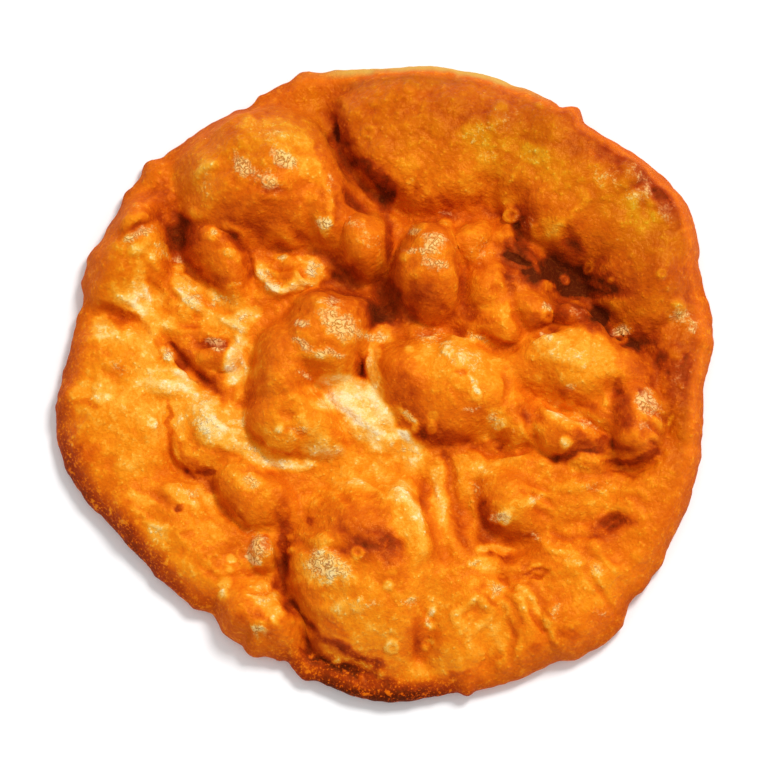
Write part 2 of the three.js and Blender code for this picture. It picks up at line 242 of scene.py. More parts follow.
def near_line(x, y, line):
    """How far a place is from a line of several points, and how far along it lies."""
    apart = np.full(x.shape, np.inf)
    progress = np.zeros(x.shape)
    for i, ((ax, ay), (bx, by)) in enumerate(zip(line[:-1], line[1:])):
        along = ((x - ax) * (bx - ax) + (y - ay) * (by - ay)) / ((bx - ax) ** 2 + (by - ay) ** 2)
        t = np.clip(along, 0, 1)
        distance = np.hypot(x - ax - t * (bx - ax), y - ay - t * (by - ay))
        nearer = distance < apart
        apart = np.where(nearer, distance, apart)
        progress = np.where(nearer, (i + t) / (len(line) - 1), progress)
    return apart, progress


def dough_height(x, y):
    """Height of the top of the dough, before any blister or wrinkle of the skin."""
    px, py = pushed(x, y)
    swell = np.sin(x / 11 + 1.3) * np.cos(y / 13 - 0.4) + 0.5 * np.sin((x - y) / 6.5)
    height = BASE_NEAR_EDGE + BASE_RISE * hump(np.hypot(x, y) / BASE_SPREAD) + BASE_SWELL * swell
    for lump in LUMPS:
        along, across = turned(px - lump.x, py - lump.y, lump.turn)
        out = np.minimum(np.hypot(along / lump.length, across / lump.width), CAP_END)
        cap = lump.top - (lump.top - LUMP_ROOT) * out ** lump.flat
        height = soft_max(height, cap, LUMP_BLEND)
    for fold in FOLDS:
        apart, progress = near_line(px, py, fold.line)
        height = height + fold.rise * hump(apart / fold.wide) * np.sin(np.pi * progress)
    broad = np.sin(x / 4.4 + 1.7 * np.sin(y / 9 + 0.5))
    broad = broad * np.sin(y / 4.9 + 1.5 * np.sin(x / 8 + 1.2))
    narrow = np.sin(x / 2.6 - y / 3.1 + 2 * np.sin(y / 6))
    return np.maximum(height + RUMPLE_BROAD * broad + RUMPLE_NARROW * narrow, LEAST_DOUGH)


# %% [markdown]
# ## A board of heights
#
# Working out every lump and fold again for every blister would be slow. Instead the heights
# are laid once on a fine square board over the plan, a cell every third of a millimetre.
# Blisters are stamped on the board, and the skin later reads it like a map.

# %% The board and how to read it
CELL = 0.32
HALF_BOARD = 112
ticks = np.arange(-HALF_BOARD, HALF_BOARD + CELL, CELL)
board_x, board_y = np.meshgrid(ticks, ticks)


def read_board(board, x, y):
    """Value of a board at places of the plan, between its four nearest cells."""
    column = np.clip((x + HALF_BOARD) / CELL, 0, len(ticks) - 1.001)
    row = np.clip((y + HALF_BOARD) / CELL, 0, len(ticks) - 1.001)
    c, r = column.astype(int), row.astype(int)
    u, v = column - c, row - r
    low = board[r, c] * (1 - u) + board[r, c + 1] * u
    high = board[r + 1, c] * (1 - u) + board[r + 1, c + 1] * u
    return low * (1 - v) + high * v


def blurred(board, radius):
    """The board averaged over squares of about the radius, three times over."""
    reach = max(int(round(radius / CELL / 2)), 1)
    for axis in (0, 1, 0, 1, 0, 1):
        padded = np.concatenate([
            np.repeat(board.take([0], axis), reach + 1, axis),
            board,
            np.repeat(board.take([-1], axis), reach, axis),
        ], axis)
        total = np.cumsum(padded, axis)
        width = 2 * reach + 1
        count = board.shape[axis]
        ends = np.arange(width, width + count)
        board = (total.take(ends, axis) - total.take(ends - width, axis)) / width
    return board


heights = dough_height(board_x, board_y)
print("a board of", heights.shape, "cells")
print("dough from", heights.min().round(1), "to", heights.max().round(1), "mm")

# %% [markdown]
# ## Blisters
#
# Fried skin is covered with small bubbles of its own. The ones that catch the eye are put
# where they are, some as a ring with a sunken middle, where a bubble burst and dried. The
# rest are scattered by a seeded draw, thickest where the skin is rough: middling ones, small
# ones and pits. A real bubble is a dome, so a dome is stamped, never a noise texture.

# %% Blisters that catch the eye
Blister = namedtuple("Blister", "x y radius rise ring", defaults=[False])
NAMED_BLISTERS = [Blister(*row) for row in [
    (61, 33.3, 2.1, 0.9, True), (53.6, 30.4, 2.2, 0.9, True), (82, 29.6, 1.9, 0.7, True),
    (70, 11.8, 2.8, 1.1, True), (38, 48.8, 2.7, 1, True), (48, 18, 2.6, 0.9, True),
    (18, 46.5, 2.6, 1), (14, -70.5, 1.8, 1), (-51, 41, 1.5, 0.4), (-61.5, 34.3, 2.2, 1.1),
    (-64, 6, 2, 0.8, True), (-69, -14, 2, 0.6, True), (-31, -17, 1.7, 0.8), (14, -16, 2, 0.8),
    (9, -16, 1.5, 0.6), (27, -7, 2.3, 0.7, True), (19, 6, 1.9, 0.6, True), (7, 7, 1.8, 0.5),
    (34, -15, 2.2, 0.7, True), (35.5, -42.6, 2.7, 1.1, True), (43, -39, 1.8, 0.7),
    (-8, -54.5, 2.5, 0.8, True), (1, -64, 2.1, 0.7), (2, -81, 2.6, 1, True), (13.5, -75, 1.5, 0.8),
    (12, -81, 1.3, 0.6), (-28, -48, 1.3, 0.6), (-28, -52, 1.4, 0.6), (53.4, -20.6, 2.2, 0.5),
    (74, -18, 1.6, 0.5), (48, -74, 1.9, 0.7, True), (-48, -65.7, 2.4, 0.6), (-46, -57.8, 1.5, 0.6),
    (67.5, 29, 1.2, 0.7), (-22, -90, 1.7, 0.7), (-12, -88.5, 1.6, 0.8), (-7, -89.5, 1.4, 0.6),
    (-1, -88, 1.6, 0.7), (-19, -85, 1.3, 0.6), (96, 11, 3, 1.2), (20, 93, 2.4, 0.5),
]]
print(len(NAMED_BLISTERS), "blisters are placed by hand")

# %% [markdown]
# ## Scaly places
#
# Where a bubble dried out, its skin cracked into pale scales. They matter twice: small
# blisters crowd there, and the crust is coloured and cracked there later. Their places were
# judged from above and a little from the near side, where high crowns look further
# away than they are. So these ellipses lie where a place is seen, not where it is in the plan.
# The pale colour laid on the scales later is partly painted highlight on the crowns.

# %% Where the skin is scaly
Scale = namedtuple("Scale", "x y length width turn share")
SCALES = [Scale(*row) for row in [
    # in the west
    (-73, 42.5, 7, 1.7, 32, 0.9), (-61.5, 35.3, 2, 2, 0, 1), (-51, 43, 2, 1, -20, 0.9),
    (-46, 36, 3, 1.5, -25, 0.5), (-44.5, 27, 2, 0.8, 0, 0.7), (-50, 9.5, 4, 2.4, -15, 1.1),
    (-65, 6.5, 3, 1.5, -40, 0.8), (-42, 16.5, 5, 3, 25, 0.6), (-57, 23, 3, 2.5, 0, 0.6),
    (-61, 27, 4, 2, -40, 0.55), (-50, 22, 6, 2, 0, 0.5), (-52, -15, 7, 4, -30, 0.5),
    (-54, -7, 4, 2.5, 0, 0.6), (-42, -14, 4, 4, 0, 0.4), (-39, -23, 5, 2.5, -20, 0.6),
    (-40, -32, 4.5, 2, 0, 0.75), (-58, -35, 7, 3, -20, 0.42), (-87, -5, 5, 2.5, -15, 0.35),
    (-66.5, -47, 3, 3.5, 0, 0.45), (-37, -51, 4.4, 4.8, 0, 0.85), (-39, -55, 3, 1.3, -30, 0.9),
    (-36, -67, 5, 3, -40, 0.45), (-38, -76, 5, 1.6, -20, 1), (-75, 51, 4, 1.5, 15, 0.5),
    (-66.5, 38, 3, 2, -50, 0.5), (-79, 3, 5, 4, 0, 0.35),
    # on the domes
    (-13.5, 15.5, 8, 4.2, -32, 1.1), (-16, 22.5, 4, 1.2, -10, 0.7),
    (-24.7, 15.2, 2.5, 1.8, -30, 0.9), (-24, 9, 4, 1.5, -30, 1), (-16, 6.3, 5, 1.5, -10, 1),
    (-36, 30, 2, 4, 15, 0.7), (-31, 27, 4, 1.5, -10, 0.7), (-21.5, 32, 3, 3, 0, 0.8),
    (-31.5, 36, 2.5, 1, -10, 0.7), (-42.2, 62.7, 4.8, 2.4, -54, 1.1),
    (-30.5, 65.2, 6.4, 2.7, -35, 1.1), (-34.5, 58.5, 5.5, 3, -50, 0.78), (-33, 73, 8, 3, -20, 0.36),
    (-53, 60, 2, 8, 0, 0.4), (-17, 58, 2, 6, 5, 0.55), (-18.5, 45.5, 3, 3.2, 0, 0.9),
    (-26, -17, 5, 4, 0, 0.4), (-24, 0, 3, 1, -10, 0.7),
    # in the north and east
    (15, 40, 4.6, 3.4, 0, 0.95), (9, 43.3, 2.6, 1.4, 0, 0.85), (9, 37.5, 5, 1.4, 0, 0.75),
    (14.5, 33.5, 6, 2.8, -10, 0.75), (-9, 46, 4, 2, -30, 0.45), (-5, 41, 5, 4, 0, 0.36),
    (18, 49, 2.2, 1, 0, 0.9), (66, 60, 6, 4, 0, 0.42), (75, 53, 6, 3.5, 0, 0.52),
    (77, 59, 7, 3, -40, 0.55), (84, 50, 4, 4, -50, 0.5), (26, 73, 5, 3, 0, 0.34),
    (30, 67, 5, 3, 0, 0.34), (44, 66, 5, 3, 0, 0.34), (35, 77, 8, 5, 0, 0.3),
    (88, 18, 4, 3.5, 0, 0.65), (93, 14, 3, 3, 0, 0.65), (70, 13.5, 3.5, 2, 0, 0.9),
    (57, 19, 3.5, 2.5, -30, 0.55), (47.5, 20.5, 2, 1.8, 0, 0.8), (77.5, -8.5, 4.6, 3.4, -50, 1.1),
    (76, -16, 2, 2, 0, 0.7), (60, -15, 6, 1.8, -30, 0.55), (54, -3, 3, 2, 0, 0.45),
    (60, 6, 9, 4, 0, 0.42), (88, 0, 4, 6, 0, 0.4), (48, 12, 2, 1.5, 0, 0.7), (28, 37, 4, 4, 0, 0.4),
    (42, 46, 4, 4, 0, 0.4),
    # on the east lobe and in the south
    (23, 5, 9, 4.5, -20, 0.55), (26.5, -3, 1.3, 3, 20, 0.9), (13, 12, 6, 3, -10, 0.5),
    (28, 11, 4, 1.2, -20, 0.75), (26, -10, 3, 1.3, 0, 0.6), (33, -13.5, 3, 2.2, 0, 0.55),
    (-2, 12, 5, 2, 0, 0.65), (7, -12.5, 3.5, 1.2, -35, 0.7), (6, -22, 7, 2, -12, 0.4),
    (-17, -57, 8, 5, -25, 1), (-9, -69, 7, 4, 0, 0.38), (-2, -68, 3, 2, 0, 0.5),
    (33, -64, 3, 2.5, 0, 0.75), (44, -37, 4, 1.5, 20, 0.55), (34.5, -42.5, 3, 2, 0, 0.85),
    (63, -58, 3, 2, 0, 0.6), (56, -55, 3.5, 2, 0, 0.45), (44, -48, 5, 2, -30, 0.5),
    (26.5, -56, 1.5, 1.5, 0, 0.7), (7, -67, 4, 2, -10, 0.5), (62, -34, 8, 3, 0, 0.35),
    (26, -33, 5, 4, 0, 0.35), (50, -70, 2, 3, 0, 0.5), (65, -72, 4, 3, 0, 0.4),
    (12.6, -73, 1.6, 3, 0, 0.7),
]]
LEAN = 0.176
LEAN_FROM = 15


def scale_patches(x, y, spread):
    """Sum of the scaly places, each a soft ellipse."""
    total = np.zeros(np.shape(x))
    for scale in SCALES:
        along, across = turned(x - scale.x, y - scale.y, scale.turn)
        total += scale.share * hump(np.hypot(along / scale.length, across / scale.width) / spread)
    return total


def seen(y, z):
    """Where a place lies in y as the eye has it, looking down at a slant from the near side."""
    return y + LEAN * (z - LEAN_FROM)


print(len(SCALES), "scaly places")

# %% Stamping blisters
RING_DIP = 0.75
RING_HOLE = 0.62


def stamp(board, blister):
    """Adds one dome, or one ring with a sunken middle, to a board."""
    reach = int(blister.radius / CELL) + 2
    c = int(round((blister.x + HALF_BOARD) / CELL))
    r = int(round((blister.y + HALF_BOARD) / CELL))
    rows = slice(max(r - reach, 0), r + reach + 1)
    columns = slice(max(c - reach, 0), c + reach + 1)
    apart = np.hypot(board_x[rows, columns] - blister.x, board_y[rows, columns] - blister.y)
    out = apart / blister.radius
    dome = np.sqrt(np.maximum(1 - out ** 2, 0)) * np.minimum(3 * np.maximum(1 - out, 0), 1)
    if blister.ring:
        dome = dome - RING_DIP * hump(out / RING_HOLE)
    board[rows, columns] += blister.rise * dome


def roughness_at(x, y):
    """How blistered the skin is: 1 in the speckled patches, less elsewhere."""
    patch = 0.7 * scale_patches(x, seen(y, read_board(heights, x, y)), 1.8)
    plateau = hump(np.hypot((x - 45) / 75, (y - 70) / 45))
    return np.clip(0.25 + patch + 0.5 * plateau, 0, 1)


def scattered(draw, count, radii, rises, ring_share):
    """Random blisters, kept more often where the skin is rough."""
    x, y = draw.uniform(-100, 100, (2, count))
    radius = draw.uniform(*radii, count)
    rise = draw.uniform(*rises, count)
    keep = draw.uniform(0, 1, count) < roughness_at(x, y)
    ring = draw.uniform(0, 1, count) < ring_share
    return [Blister(*row) for row in zip(x[keep], y[keep], radius[keep], rise[keep], ring[keep])]


BLISTER_SEED = 20
draw = np.random.default_rng(BLISTER_SEED)
blister_board = np.zeros_like(heights)
pearl_board = np.zeros_like(heights)
for blister in NAMED_BLISTERS:
    stamp(pearl_board, blister._replace(rise=1))
groups = {
    "named": NAMED_BLISTERS,
    "middling": scattered(draw, 900, (2.0, 4.4), (0.15, 0.6), 0.08),
    "small": scattered(draw, 4200, (0.9, 1.8), (0.06, 0.22), 0.1),
    "pits": scattered(draw, 900, (0.9, 1.7), (-0.35, -0.12), 0),
}
for name, group in groups.items():
    for blister in group:
        stamp(blister_board, blister)
    print(len(group), name, "blisters")

# %% [markdown]
# ## Creases and small ridges
#
# Between the big bubbles the dough is crumpled: short ridges a few millimetres long, with
# creases beside them. They are drawn one by one, because they are what makes a fried bread
# look crumpled and not inflated. Each is a line with a half width and a rise, like a fold.

# %% Creases drawn one by one
Crease = namedtuple("Crease", "wide rise line")
CREASES = [Crease(*row) for row in [
    # north-west dome and its skirt
    (2, 0.7, [(-59, 57), (-55, 60), (-50, 61)]), (1.8, 0.6, [(-61, 51), (-55, 49), (-50, 51)]),
    (2.2, 0.9, [(-17, 61), (-16, 53), (-18, 46)]), (2.3, 1.1, [(-10, 62), (-7, 57), (-2, 50)]),
    (2.6, -1.6, [(-11, 59), (-8, 54), (-4, 50)]), (2, -0.9, [(-42, 54), (-35, 51), (-28, 52)]),
    (2.4, 0.9, [(-50, 45), (-45, 43), (-40, 40)]), (2.6, 1, [(-35, 41), (-29, 43), (-24, 38)]),
    (2, -0.8, [(-31, 46), (-26, 42), (-26, 37)]), (2.4, 0.7, [(-52, 72), (-44, 77), (-36, 78)]),
    # west shoulder and the pale valleys
    (2.6, 1.1, [(-80, 36), (-73, 39), (-67, 44)]), (2.2, 0.8, [(-78, 46), (-73, 49), (-69, 46)]),
    (2, -1, [(-81, 42), (-75, 44), (-68, 48)]), (2.2, 0.9, [(-72, 38), (-68, 35), (-64, 31)]),
    (2.4, -1.3, [(-72, 32), (-67, 24), (-65, 14)]), (2.4, 1, [(-64, 29), (-60, 24), (-53, 21)]),
    (2.4, 1.1, [(-80, 25), (-74, 23), (-69, 18)]),
    (2, 1, [(-68, 15), (-62, 13.5), (-56, 15), (-49, 11)]),
    (2.2, -1.2, [(-67, 11), (-61, 5), (-56, 0), (-49, -5)]),
    (2.2, 1, [(-67, 8), (-64, 3), (-59, 1)]), (2.2, 0.9, [(-58, 7), (-52, 2), (-45, 2)]),
    (2, -0.9, [(-58, 11), (-52, 10), (-46, 12)]), (2.2, 0.8, [(-50, 21), (-45, 17), (-40, 14)]),
    (2.2, -0.9, [(-57, 27), (-50, 23), (-43, 22)]), (2.4, 0.8, [(-45, 9), (-43, 2), (-44, -8)]),
    (2.2, 0.7, [(-68, -1), (-60, -4), (-52, -9)]), (2, -0.8, [(-72, -3), (-64, -8), (-57, -10)]),
    (4.5, 1.5, [(-20, 45), (-18, 46), (-16, 45.5)]), (3, -1.6, [(-17, 83), (-14.5, 76), (-13, 69)]),
    # folds above the centre dome, the dome and its body
    (2, 1.4, [(-37, 35), (-35.5, 29), (-31, 26), (-26, 27)]),
    (3.4, 1.3, [(-28, 26), (-21.5, 28.5), (-21, 33), (-25, 35)]),
    (1.8, 0.9, [(-33, 36.5), (-29, 36), (-24, 34)]),
    (2.4, -0.8, [(-32, 32), (-29.5, 30.5), (-26.5, 31.5)]),
    (1.5, -0.9, [(-34, 33), (-32, 30), (-28, 28.5)]),
    (1.5, 0.9, [(-36, 31), (-33, 28), (-29, 25.5)]),
    (1.5, -0.9, [(-24.5, 33), (-23.5, 30), (-20, 29)]),
    (1.4, 0.8, [(-26, 32), (-25, 29.5), (-22, 27.6)]),
    (1.3, -0.7, [(-31, 36.5), (-30, 34), (-26, 33.5)]), (2, 0.5, [(-28, 7), (-20, 4), (-12, 2.5)]),
    (2, -0.4, [(-26, 9), (-17, 6), (-8, 5)]), (2.2, 1, [(-39, -26), (-30, -27.5), (-20, -27)]),
    (2.2, -1, [(-40, -18), (-35, -25), (-23, -26)]),
    (2, -0.7, [(-33, -14), (-28, -15), (-25, -19)]), (2.2, 0.9, [(-15, -4), (-9, -8), (-3, -16)]),
    (2, -0.8, [(-11, -3), (-6, -7), (1, -17)]), (2.2, 0.9, [(-3.5, 10), (-2.5, 3), (-3, -3)]),
    (2.2, 0.8, [(1, -13), (5, -17), (11, -21)]),
    # saddle, lobes, wing and end bubble
    (2.4, -1, [(23, 35), (22.5, 26), (25, 17)]), (2, 0.8, [(21, 47), (22, 40), (26, 34)]),
    (2.3, -1.3, [(20, 17), (28, 12), (37, 9)]), (2.2, -0.7, [(38, 33), (40, 23), (38, 12)]),
    (2.2, -0.7, [(24, 33), (30, 33.5), (36, 35)]), (2.2, -1.5, [(42, 12), (47, 13.5), (52, 11)]),
    (2, 0.7, [(6, 11), (16, 13.5), (26, 11)]), (2.2, -1, [(40, -11), (44, -15), (48, -19)]),
    (2.3, -2, [(24, -22), (33, -24.5), (40, -22), (44, -18)]),
    (2.2, 1, [(44, -6), (55, -14), (67, -20)]), (1.3, -1.1, [(75, -5), (79, -7), (82, -11)]),
    (1.3, -1.1, [(74, -9), (79, -11), (83, -15)]), (1.3, -1.1, [(74, -13), (79, -15), (82, -19)]),
    (1.3, -0.7, [(74, -18), (77, -20), (80, -23)]), (1.2, -0.7, [(77, -5), (77.5, -11), (79, -18)]),
    (4.5, -1.2, [(68, 0), (70, -8), (70, -16)]),
    (2.6, 1.1, [(65, -17.5), (71.7, -20.1), (80, -18)]),
    (2.2, -0.9, [(32, 4), (36, -3), (36, -11)]),
    # north-east valley and plateau
    (2.2, 1.2, [(42, 39), (45, 33), (48, 27)]), (1.8, 0.9, [(36, 51), (37, 44), (39, 37)]),
    (2.2, -1.2, [(52, 46), (55, 41), (59, 37)]), (2.4, 0.7, [(54, 45), (57, 51), (61, 56)]),
    (2.2, 0.9, [(60, 23), (67, 19.5), (74, 20)]), (2.2, -1, [(58, 20), (66, 14), (73, 8)]),
    (1.6, 0.6, [(42, 50), (45, 46), (46, 41)]), (2.2, 0.7, [(84, 26), (87, 20), (92, 15)]),
    (2.2, 0.6, [(76, 55), (80, 50), (83, 44)]), (2, 0.5, [(73, 57), (76, 50), (79, 43)]),
    # south-east apron
    (1.3, -1, [(41, -60), (44, -62), (47, -59)]),
    (1.3, -1.1, [(42.5, -67), (45.5, -72), (48, -77)]), (2, 0.9, [(49, -70), (51, -76), (52, -82)]),
    (2, -0.7, [(31, -56), (35, -60), (39, -64)]), (2.4, 1, [(26, -55), (32, -54), (38, -57)]),
    (2, 0.9, [(24, -77), (22, -70), (26, -65), (31, -69), (30, -76)]),
    (2, -0.9, [(23, -65), (27, -70), (27, -76)]), (2, 0.8, [(30, -64), (36, -68), (39, -75)]),
    (2.2, -1.1, [(36, -73), (38, -80), (43, -86)]), (2.4, 1, [(48, -33), (56, -31), (63, -27)]),
    (2.2, -0.9, [(48, -46), (56, -50), (63, -49)]), (2.2, 0.7, [(62, -53), (68, -58), (75, -60)]),
    (2.2, -0.8, [(58, -61), (65, -66), (70, -73)]), (2, 0.7, [(42, -48), (48, -53), (54, -53)]),
    (1.6, -0.8, [(41, -36), (46, -37), (51, -39)]), (1.6, -0.8, [(42, -40), (46, -41), (51, -43)]),
    (1.6, -0.7, [(42, -32), (46, -33), (50, -35)]), (2, -0.8, [(66, -34), (73, -37), (79, -42)]),
    # south lobe, cleft and corner
    (3.2, 0.7, [(3, -29), (8, -42), (11, -57)]), (2, -1.1, [(11, -29), (13, -39), (14, -52)]),
    (2.4, 1, [(15, -26), (17, -39), (20, -54)]), (2.4, -1.4, [(18, -24), (21, -38), (24, -55)]),
    (2.2, 0.9, [(23, -28), (26, -38), (25, -49)]), (2.4, -0.5, [(-14, -43), (-6, -52), (4, -59)]),
    (2, -0.4, [(-11, -47), (-2, -50), (6, -50)]), (2.4, -0.6, [(8, -73), (9, -82), (13, -89)]),
    (2.3, 1.1, [(-29, -70), (-21, -80), (-10, -84)]),
    (2.6, -1.8, [(-45, -77), (-38, -75.5), (-31, -80)]),
    (2.2, 1.1, [(-46, -80), (-38, -82), (-29, -84)]),
    (2, 0.7, [(-42, -67), (-36, -72), (-30, -75)]), (2, -0.9, [(-26, -48), (-18, -52), (-10, -56)]),
    (2.2, 0.8, [(-24, -69), (-15, -72), (-5, -70)]), (2, -0.8, [(-20, -30), (-12, -34), (-6, -41)]),
    (2, 0.7, [(-14, -29), (-5, -33), (0, -39)]),
    # crescent lobe and south-west apron
    (2.4, 0.9, [(-62, -11), (-59, -21), (-49, -29)]),
    (2, -0.9, [(-59, -11), (-54, -20), (-44, -26)]),
    (2.2, 0.7, [(-54, -10), (-47, -17), (-40, -22)]), (2.2, -0.6, [(-83, 3), (-77, -2), (-79, -8)]),
    (2.2, 0.6, [(-88, 13), (-81, 11), (-76, 8)]), (2.2, -0.7, [(-72, -30), (-65, -36), (-60, -43)]),
    (2.2, 0.7, [(-66, -30), (-58, -36), (-54, -44)]),
    (2.2, -0.7, [(-62, -52), (-54, -56), (-48, -62)]),
    (2.2, 0.6, [(-75, -36), (-68, -45), (-58, -52)]), (2, -1, [(-44, -60), (-38, -62), (-33, -60)]),
]]
SHARPNESS = 1.6
CREASE_ENDS = 0.7


def board_slice(low, high):
    """The rows or columns of a board between two places."""
    return slice(max(int((low + HALF_BOARD) / CELL), 0), int((high + HALF_BOARD) / CELL))


def draw_crease(board, crease):
    """Adds one crease or ridge to a board, within a window round its line."""
    margin = 4 * crease.wide + 6
    columns, rows = (
        board_slice(min(places) - margin, max(places) + margin) for places in zip(*crease.line)
    )
    apart, progress = near_line(warped_x[rows, columns], warped_y[rows, columns], crease.line)
    out = apart / crease.wide
    profile = np.maximum(1 - out, 0) ** SHARPNESS * (1 + SHARPNESS * out)
    board[rows, columns] += crease.rise * profile * np.sin(np.pi * progress) ** CREASE_ENDS


print(len(CREASES), "creases")

# %% [markdown]
# ## Wrinkles
#
# Skin that is pulled into a fold wrinkles beside it, in ripples that run along the fold. They
# are worked out from the distance to each fold, so they follow it round corners. A slow
# unevenness from a lattice of random numbers breaks them up, because real wrinkles come and go.

# %% Ripples beside the folds, and uneven skin
RIPPLE_LENGTH = 2.6
RIPPLE_RISE = 0.2
RIPPLE_REACH = 6.5
LATTICE = 128
LATTICE_SHIFT = 40.5
WARP = 1.2
WARP_SIZE = 5
SKIN_HILLS = ((7, 0.3, 11), (3.4, 0.2, 12), (1.8, 0.1, 13))
RIPPLE_GAP_SIZE = 9


def eased(t):
    """0 to 1 with a soft start and a soft end."""
    return t * t * (3 - 2 * t)


def uneven(x, y, size, seed):
    """Soft random hills between -1 and 1, about one size across."""
    lattice = np.random.default_rng(seed).uniform(-1, 1, (LATTICE, LATTICE))
    u, v = x / size + LATTICE_SHIFT, y / size + LATTICE_SHIFT
    c, r = np.floor(u).astype(int), np.floor(v).astype(int)
    fu, fv = eased(u - c), eased(v - r)
    c, r, next_c, next_r = (k % LATTICE for k in (c, r, c + 1, r + 1))
    low = lattice[r, c] * (1 - fu) + lattice[r, next_c] * fu
    high = lattice[next_r, c] * (1 - fu) + lattice[next_r, next_c] * fu
    return low * (1 - fv) + high * fv


warped_x, warped_y = pushed(board_x, board_y)
warped_x = warped_x + WARP * uneven(board_x, board_y, WARP_SIZE, 1)
warped_y = warped_y + WARP * uneven(board_x, board_y, WARP_SIZE, 2)
ripples = np.zeros_like(heights)
for fold in FOLDS:
    apart, progress = near_line(warped_x, warped_y, fold.line)
    wave = np.sin(2 * np.pi * (apart - fold.wide) / RIPPLE_LENGTH)
    ripples += wave * np.exp(-apart / RIPPLE_REACH) * np.sin(np.pi * progress)
kept = np.clip(0.5 + 1.2 * uneven(board_x, board_y, RIPPLE_GAP_SIZE, 3), 0, 1)
ripples *= RIPPLE_RISE * kept

creased = np.zeros_like(heights)
for crease in CREASES:
    draw_crease(creased, crease)
skin = blister_board + ripples + creased
for size, rise, seed in SKIN_HILLS:
    skin += rise * uneven(board_x, board_y, size, seed)
print("skin relief from", skin.min().round(2), "to", skin.max().round(2), "mm")

# %% [markdown]
# ## The skin as a mesh
#
# The skin is made of rings. The first is one point at the middle of the top, and each next
# ring has six points more, so the triangles stay about the same size everywhere. The rings
# go over the edge, round it, and back to the middle of the underside, which closes the bread.
# A square grid would leave a ragged edge, and a voxel remesh would melt the sharp folds.

# %% Ring sizes and edge sizes
TOP_RINGS = 157
SIDE_RINGS = 8
BOTTOM_RINGS = 66
EDGE_HEIGHT = 3.6
EDGE_ROUND = 6
EDGE_UNDER = 13


def ring_plan(count, share, inset):
    """Places in the plan of one ring."""
    angle = 360 * np.arange(count) / count
    radius = share * (rim_radius(angle) - inset)
    return radius * np.cos(np.radians(angle)), radius * np.sin(np.radians(angle))


def stitch(outer_start, outer_count, inner_start, inner_count):
    """Triangles between two rings: always closes the one that lags behind."""
    triangles = []
    outer = inner = 0
    outer_end = outer_count if outer_count > 1 else 0
    inner_end = inner_count if inner_count > 1 else 0
    while outer < outer_end or inner < inner_end:
        a = outer_start + outer % outer_count
        b = inner_start + inner % inner_count
        outer_next = (outer + 1) / outer_count if outer < outer_end else np.inf
        inner_next = (inner + 1) / inner_count if inner < inner_end else np.inf
        if outer_next <= inner_next:
            outer += 1
            triangles.append((a, outer_start + outer % outer_count, b))
        else:
            inner += 1
            triangles.append((a, inner_start + inner % inner_count, b))
    return triangles


# %% Points in the plan, ring by ring
rings = []
for k in range(TOP_RINGS + 1):
    rings.append(("top", 1.0, ring_plan(max(6 * k, 1), k / TOP_RINGS, EDGE_ROUND)))
for k in range(1, SIDE_RINGS):
    angle = math.pi / 2 - math.pi * k / SIDE_RINGS
    inset = (EDGE_ROUND if angle > 0 else EDGE_UNDER) * (1 - math.cos(angle))
    rings.append(("side", math.sin(angle), ring_plan(6 * TOP_RINGS, 1, inset)))
for k in range(BOTTOM_RINGS, -1, -1):
    rings.append(("bottom", -1.0, ring_plan(max(6 * k, 1), k / BOTTOM_RINGS, EDGE_UNDER)))

x = np.concatenate([plan[0] for _, _, plan in rings])
y = np.concatenate([plan[1] for _, _, plan in rings])
level = np.concatenate([np.full(len(plan[0]), lift) for _, lift, plan in rings])
starts = np.cumsum([0] + [len(plan[0]) for _, _, plan in rings])
triangles = []
for k in range(len(rings) - 1):
    outer_count = starts[k + 2] - starts[k + 1]
    triangles += stitch(starts[k + 1], outer_count, starts[k], starts[k + 1] - starts[k])
triangles = np.array(triangles)
print(len(x), "points and", len(triangles), "triangles")

# %% [markdown]
# ## Evening out the triangles
#
# Each ring has six points more than the last, so the triangles between two rings lean one way
# and then the other, and all rings start on the same side, where a seam would show in low
# light. So each point of the top is drawn a few times towards the middle of its neighbours in
# the plan. Its height is worked out after that, from the place where it ends up.

# %% Relaxing the top
RELAX_ROUNDS = 14
RELAX_STEP = 0.6
pairs = np.concatenate([triangles[:, [0, 1]], triangles[:, [1, 2]], triangles[:, [2, 0]]])
pairs = np.unique(np.sort(pairs, 1), axis=0)
degree = np.bincount(pairs.ravel(), minlength=len(x))
top_end = starts[TOP_RINGS]


def neighbour_mean(values):
    """Mean of each point's neighbours."""
    total = np.bincount(pairs[:, 0], values[pairs[:, 1]], len(values))
    total += np.bincount(pairs[:, 1], values[pairs[:, 0]], len(values))
    return total / degree


free = np.arange(len(x)) < top_end
for _ in range(RELAX_ROUNDS):
    x = np.where(free, x + RELAX_STEP * (neighbour_mean(x) - x), x)
    y = np.where(free, y + RELAX_STEP * (neighbour_mean(y) - y), y)
print(len(pairs), "edges, evened out in", RELAX_ROUNDS, "rounds")

# %% Heights of all points
REST_SHARE = 0.36
REST_FADE = 0.15
DENT_DEPTH = 1.3
DENT_FROM = 0.25


def underside_height(x, y):
    """Shallow dents that the oil leaves, outside the flat that the bread rests on."""
    waves = np.sin(x / 7.5) * np.sin(y / 8.5 + 1) + 0.4 * np.sin((x + y) / 5)
    share = np.hypot(x, y) / rim_radius(np.degrees(np.arctan2(y, x)))
    fade = np.clip((share - REST_SHARE) / REST_FADE, 0, 1)
    return DENT_DEPTH * eased(fade) * np.maximum(waves - DENT_FROM, 0)


top_z = read_board(heights, x, y)
side_z = EDGE_HEIGHT + level * np.where(level > 0, top_z - EDGE_HEIGHT, EDGE_HEIGHT)
z = np.where(level == 1, top_z, np.where(level == -1, underside_height(x, y), side_z))
points = np.stack([x, y, z], 1)


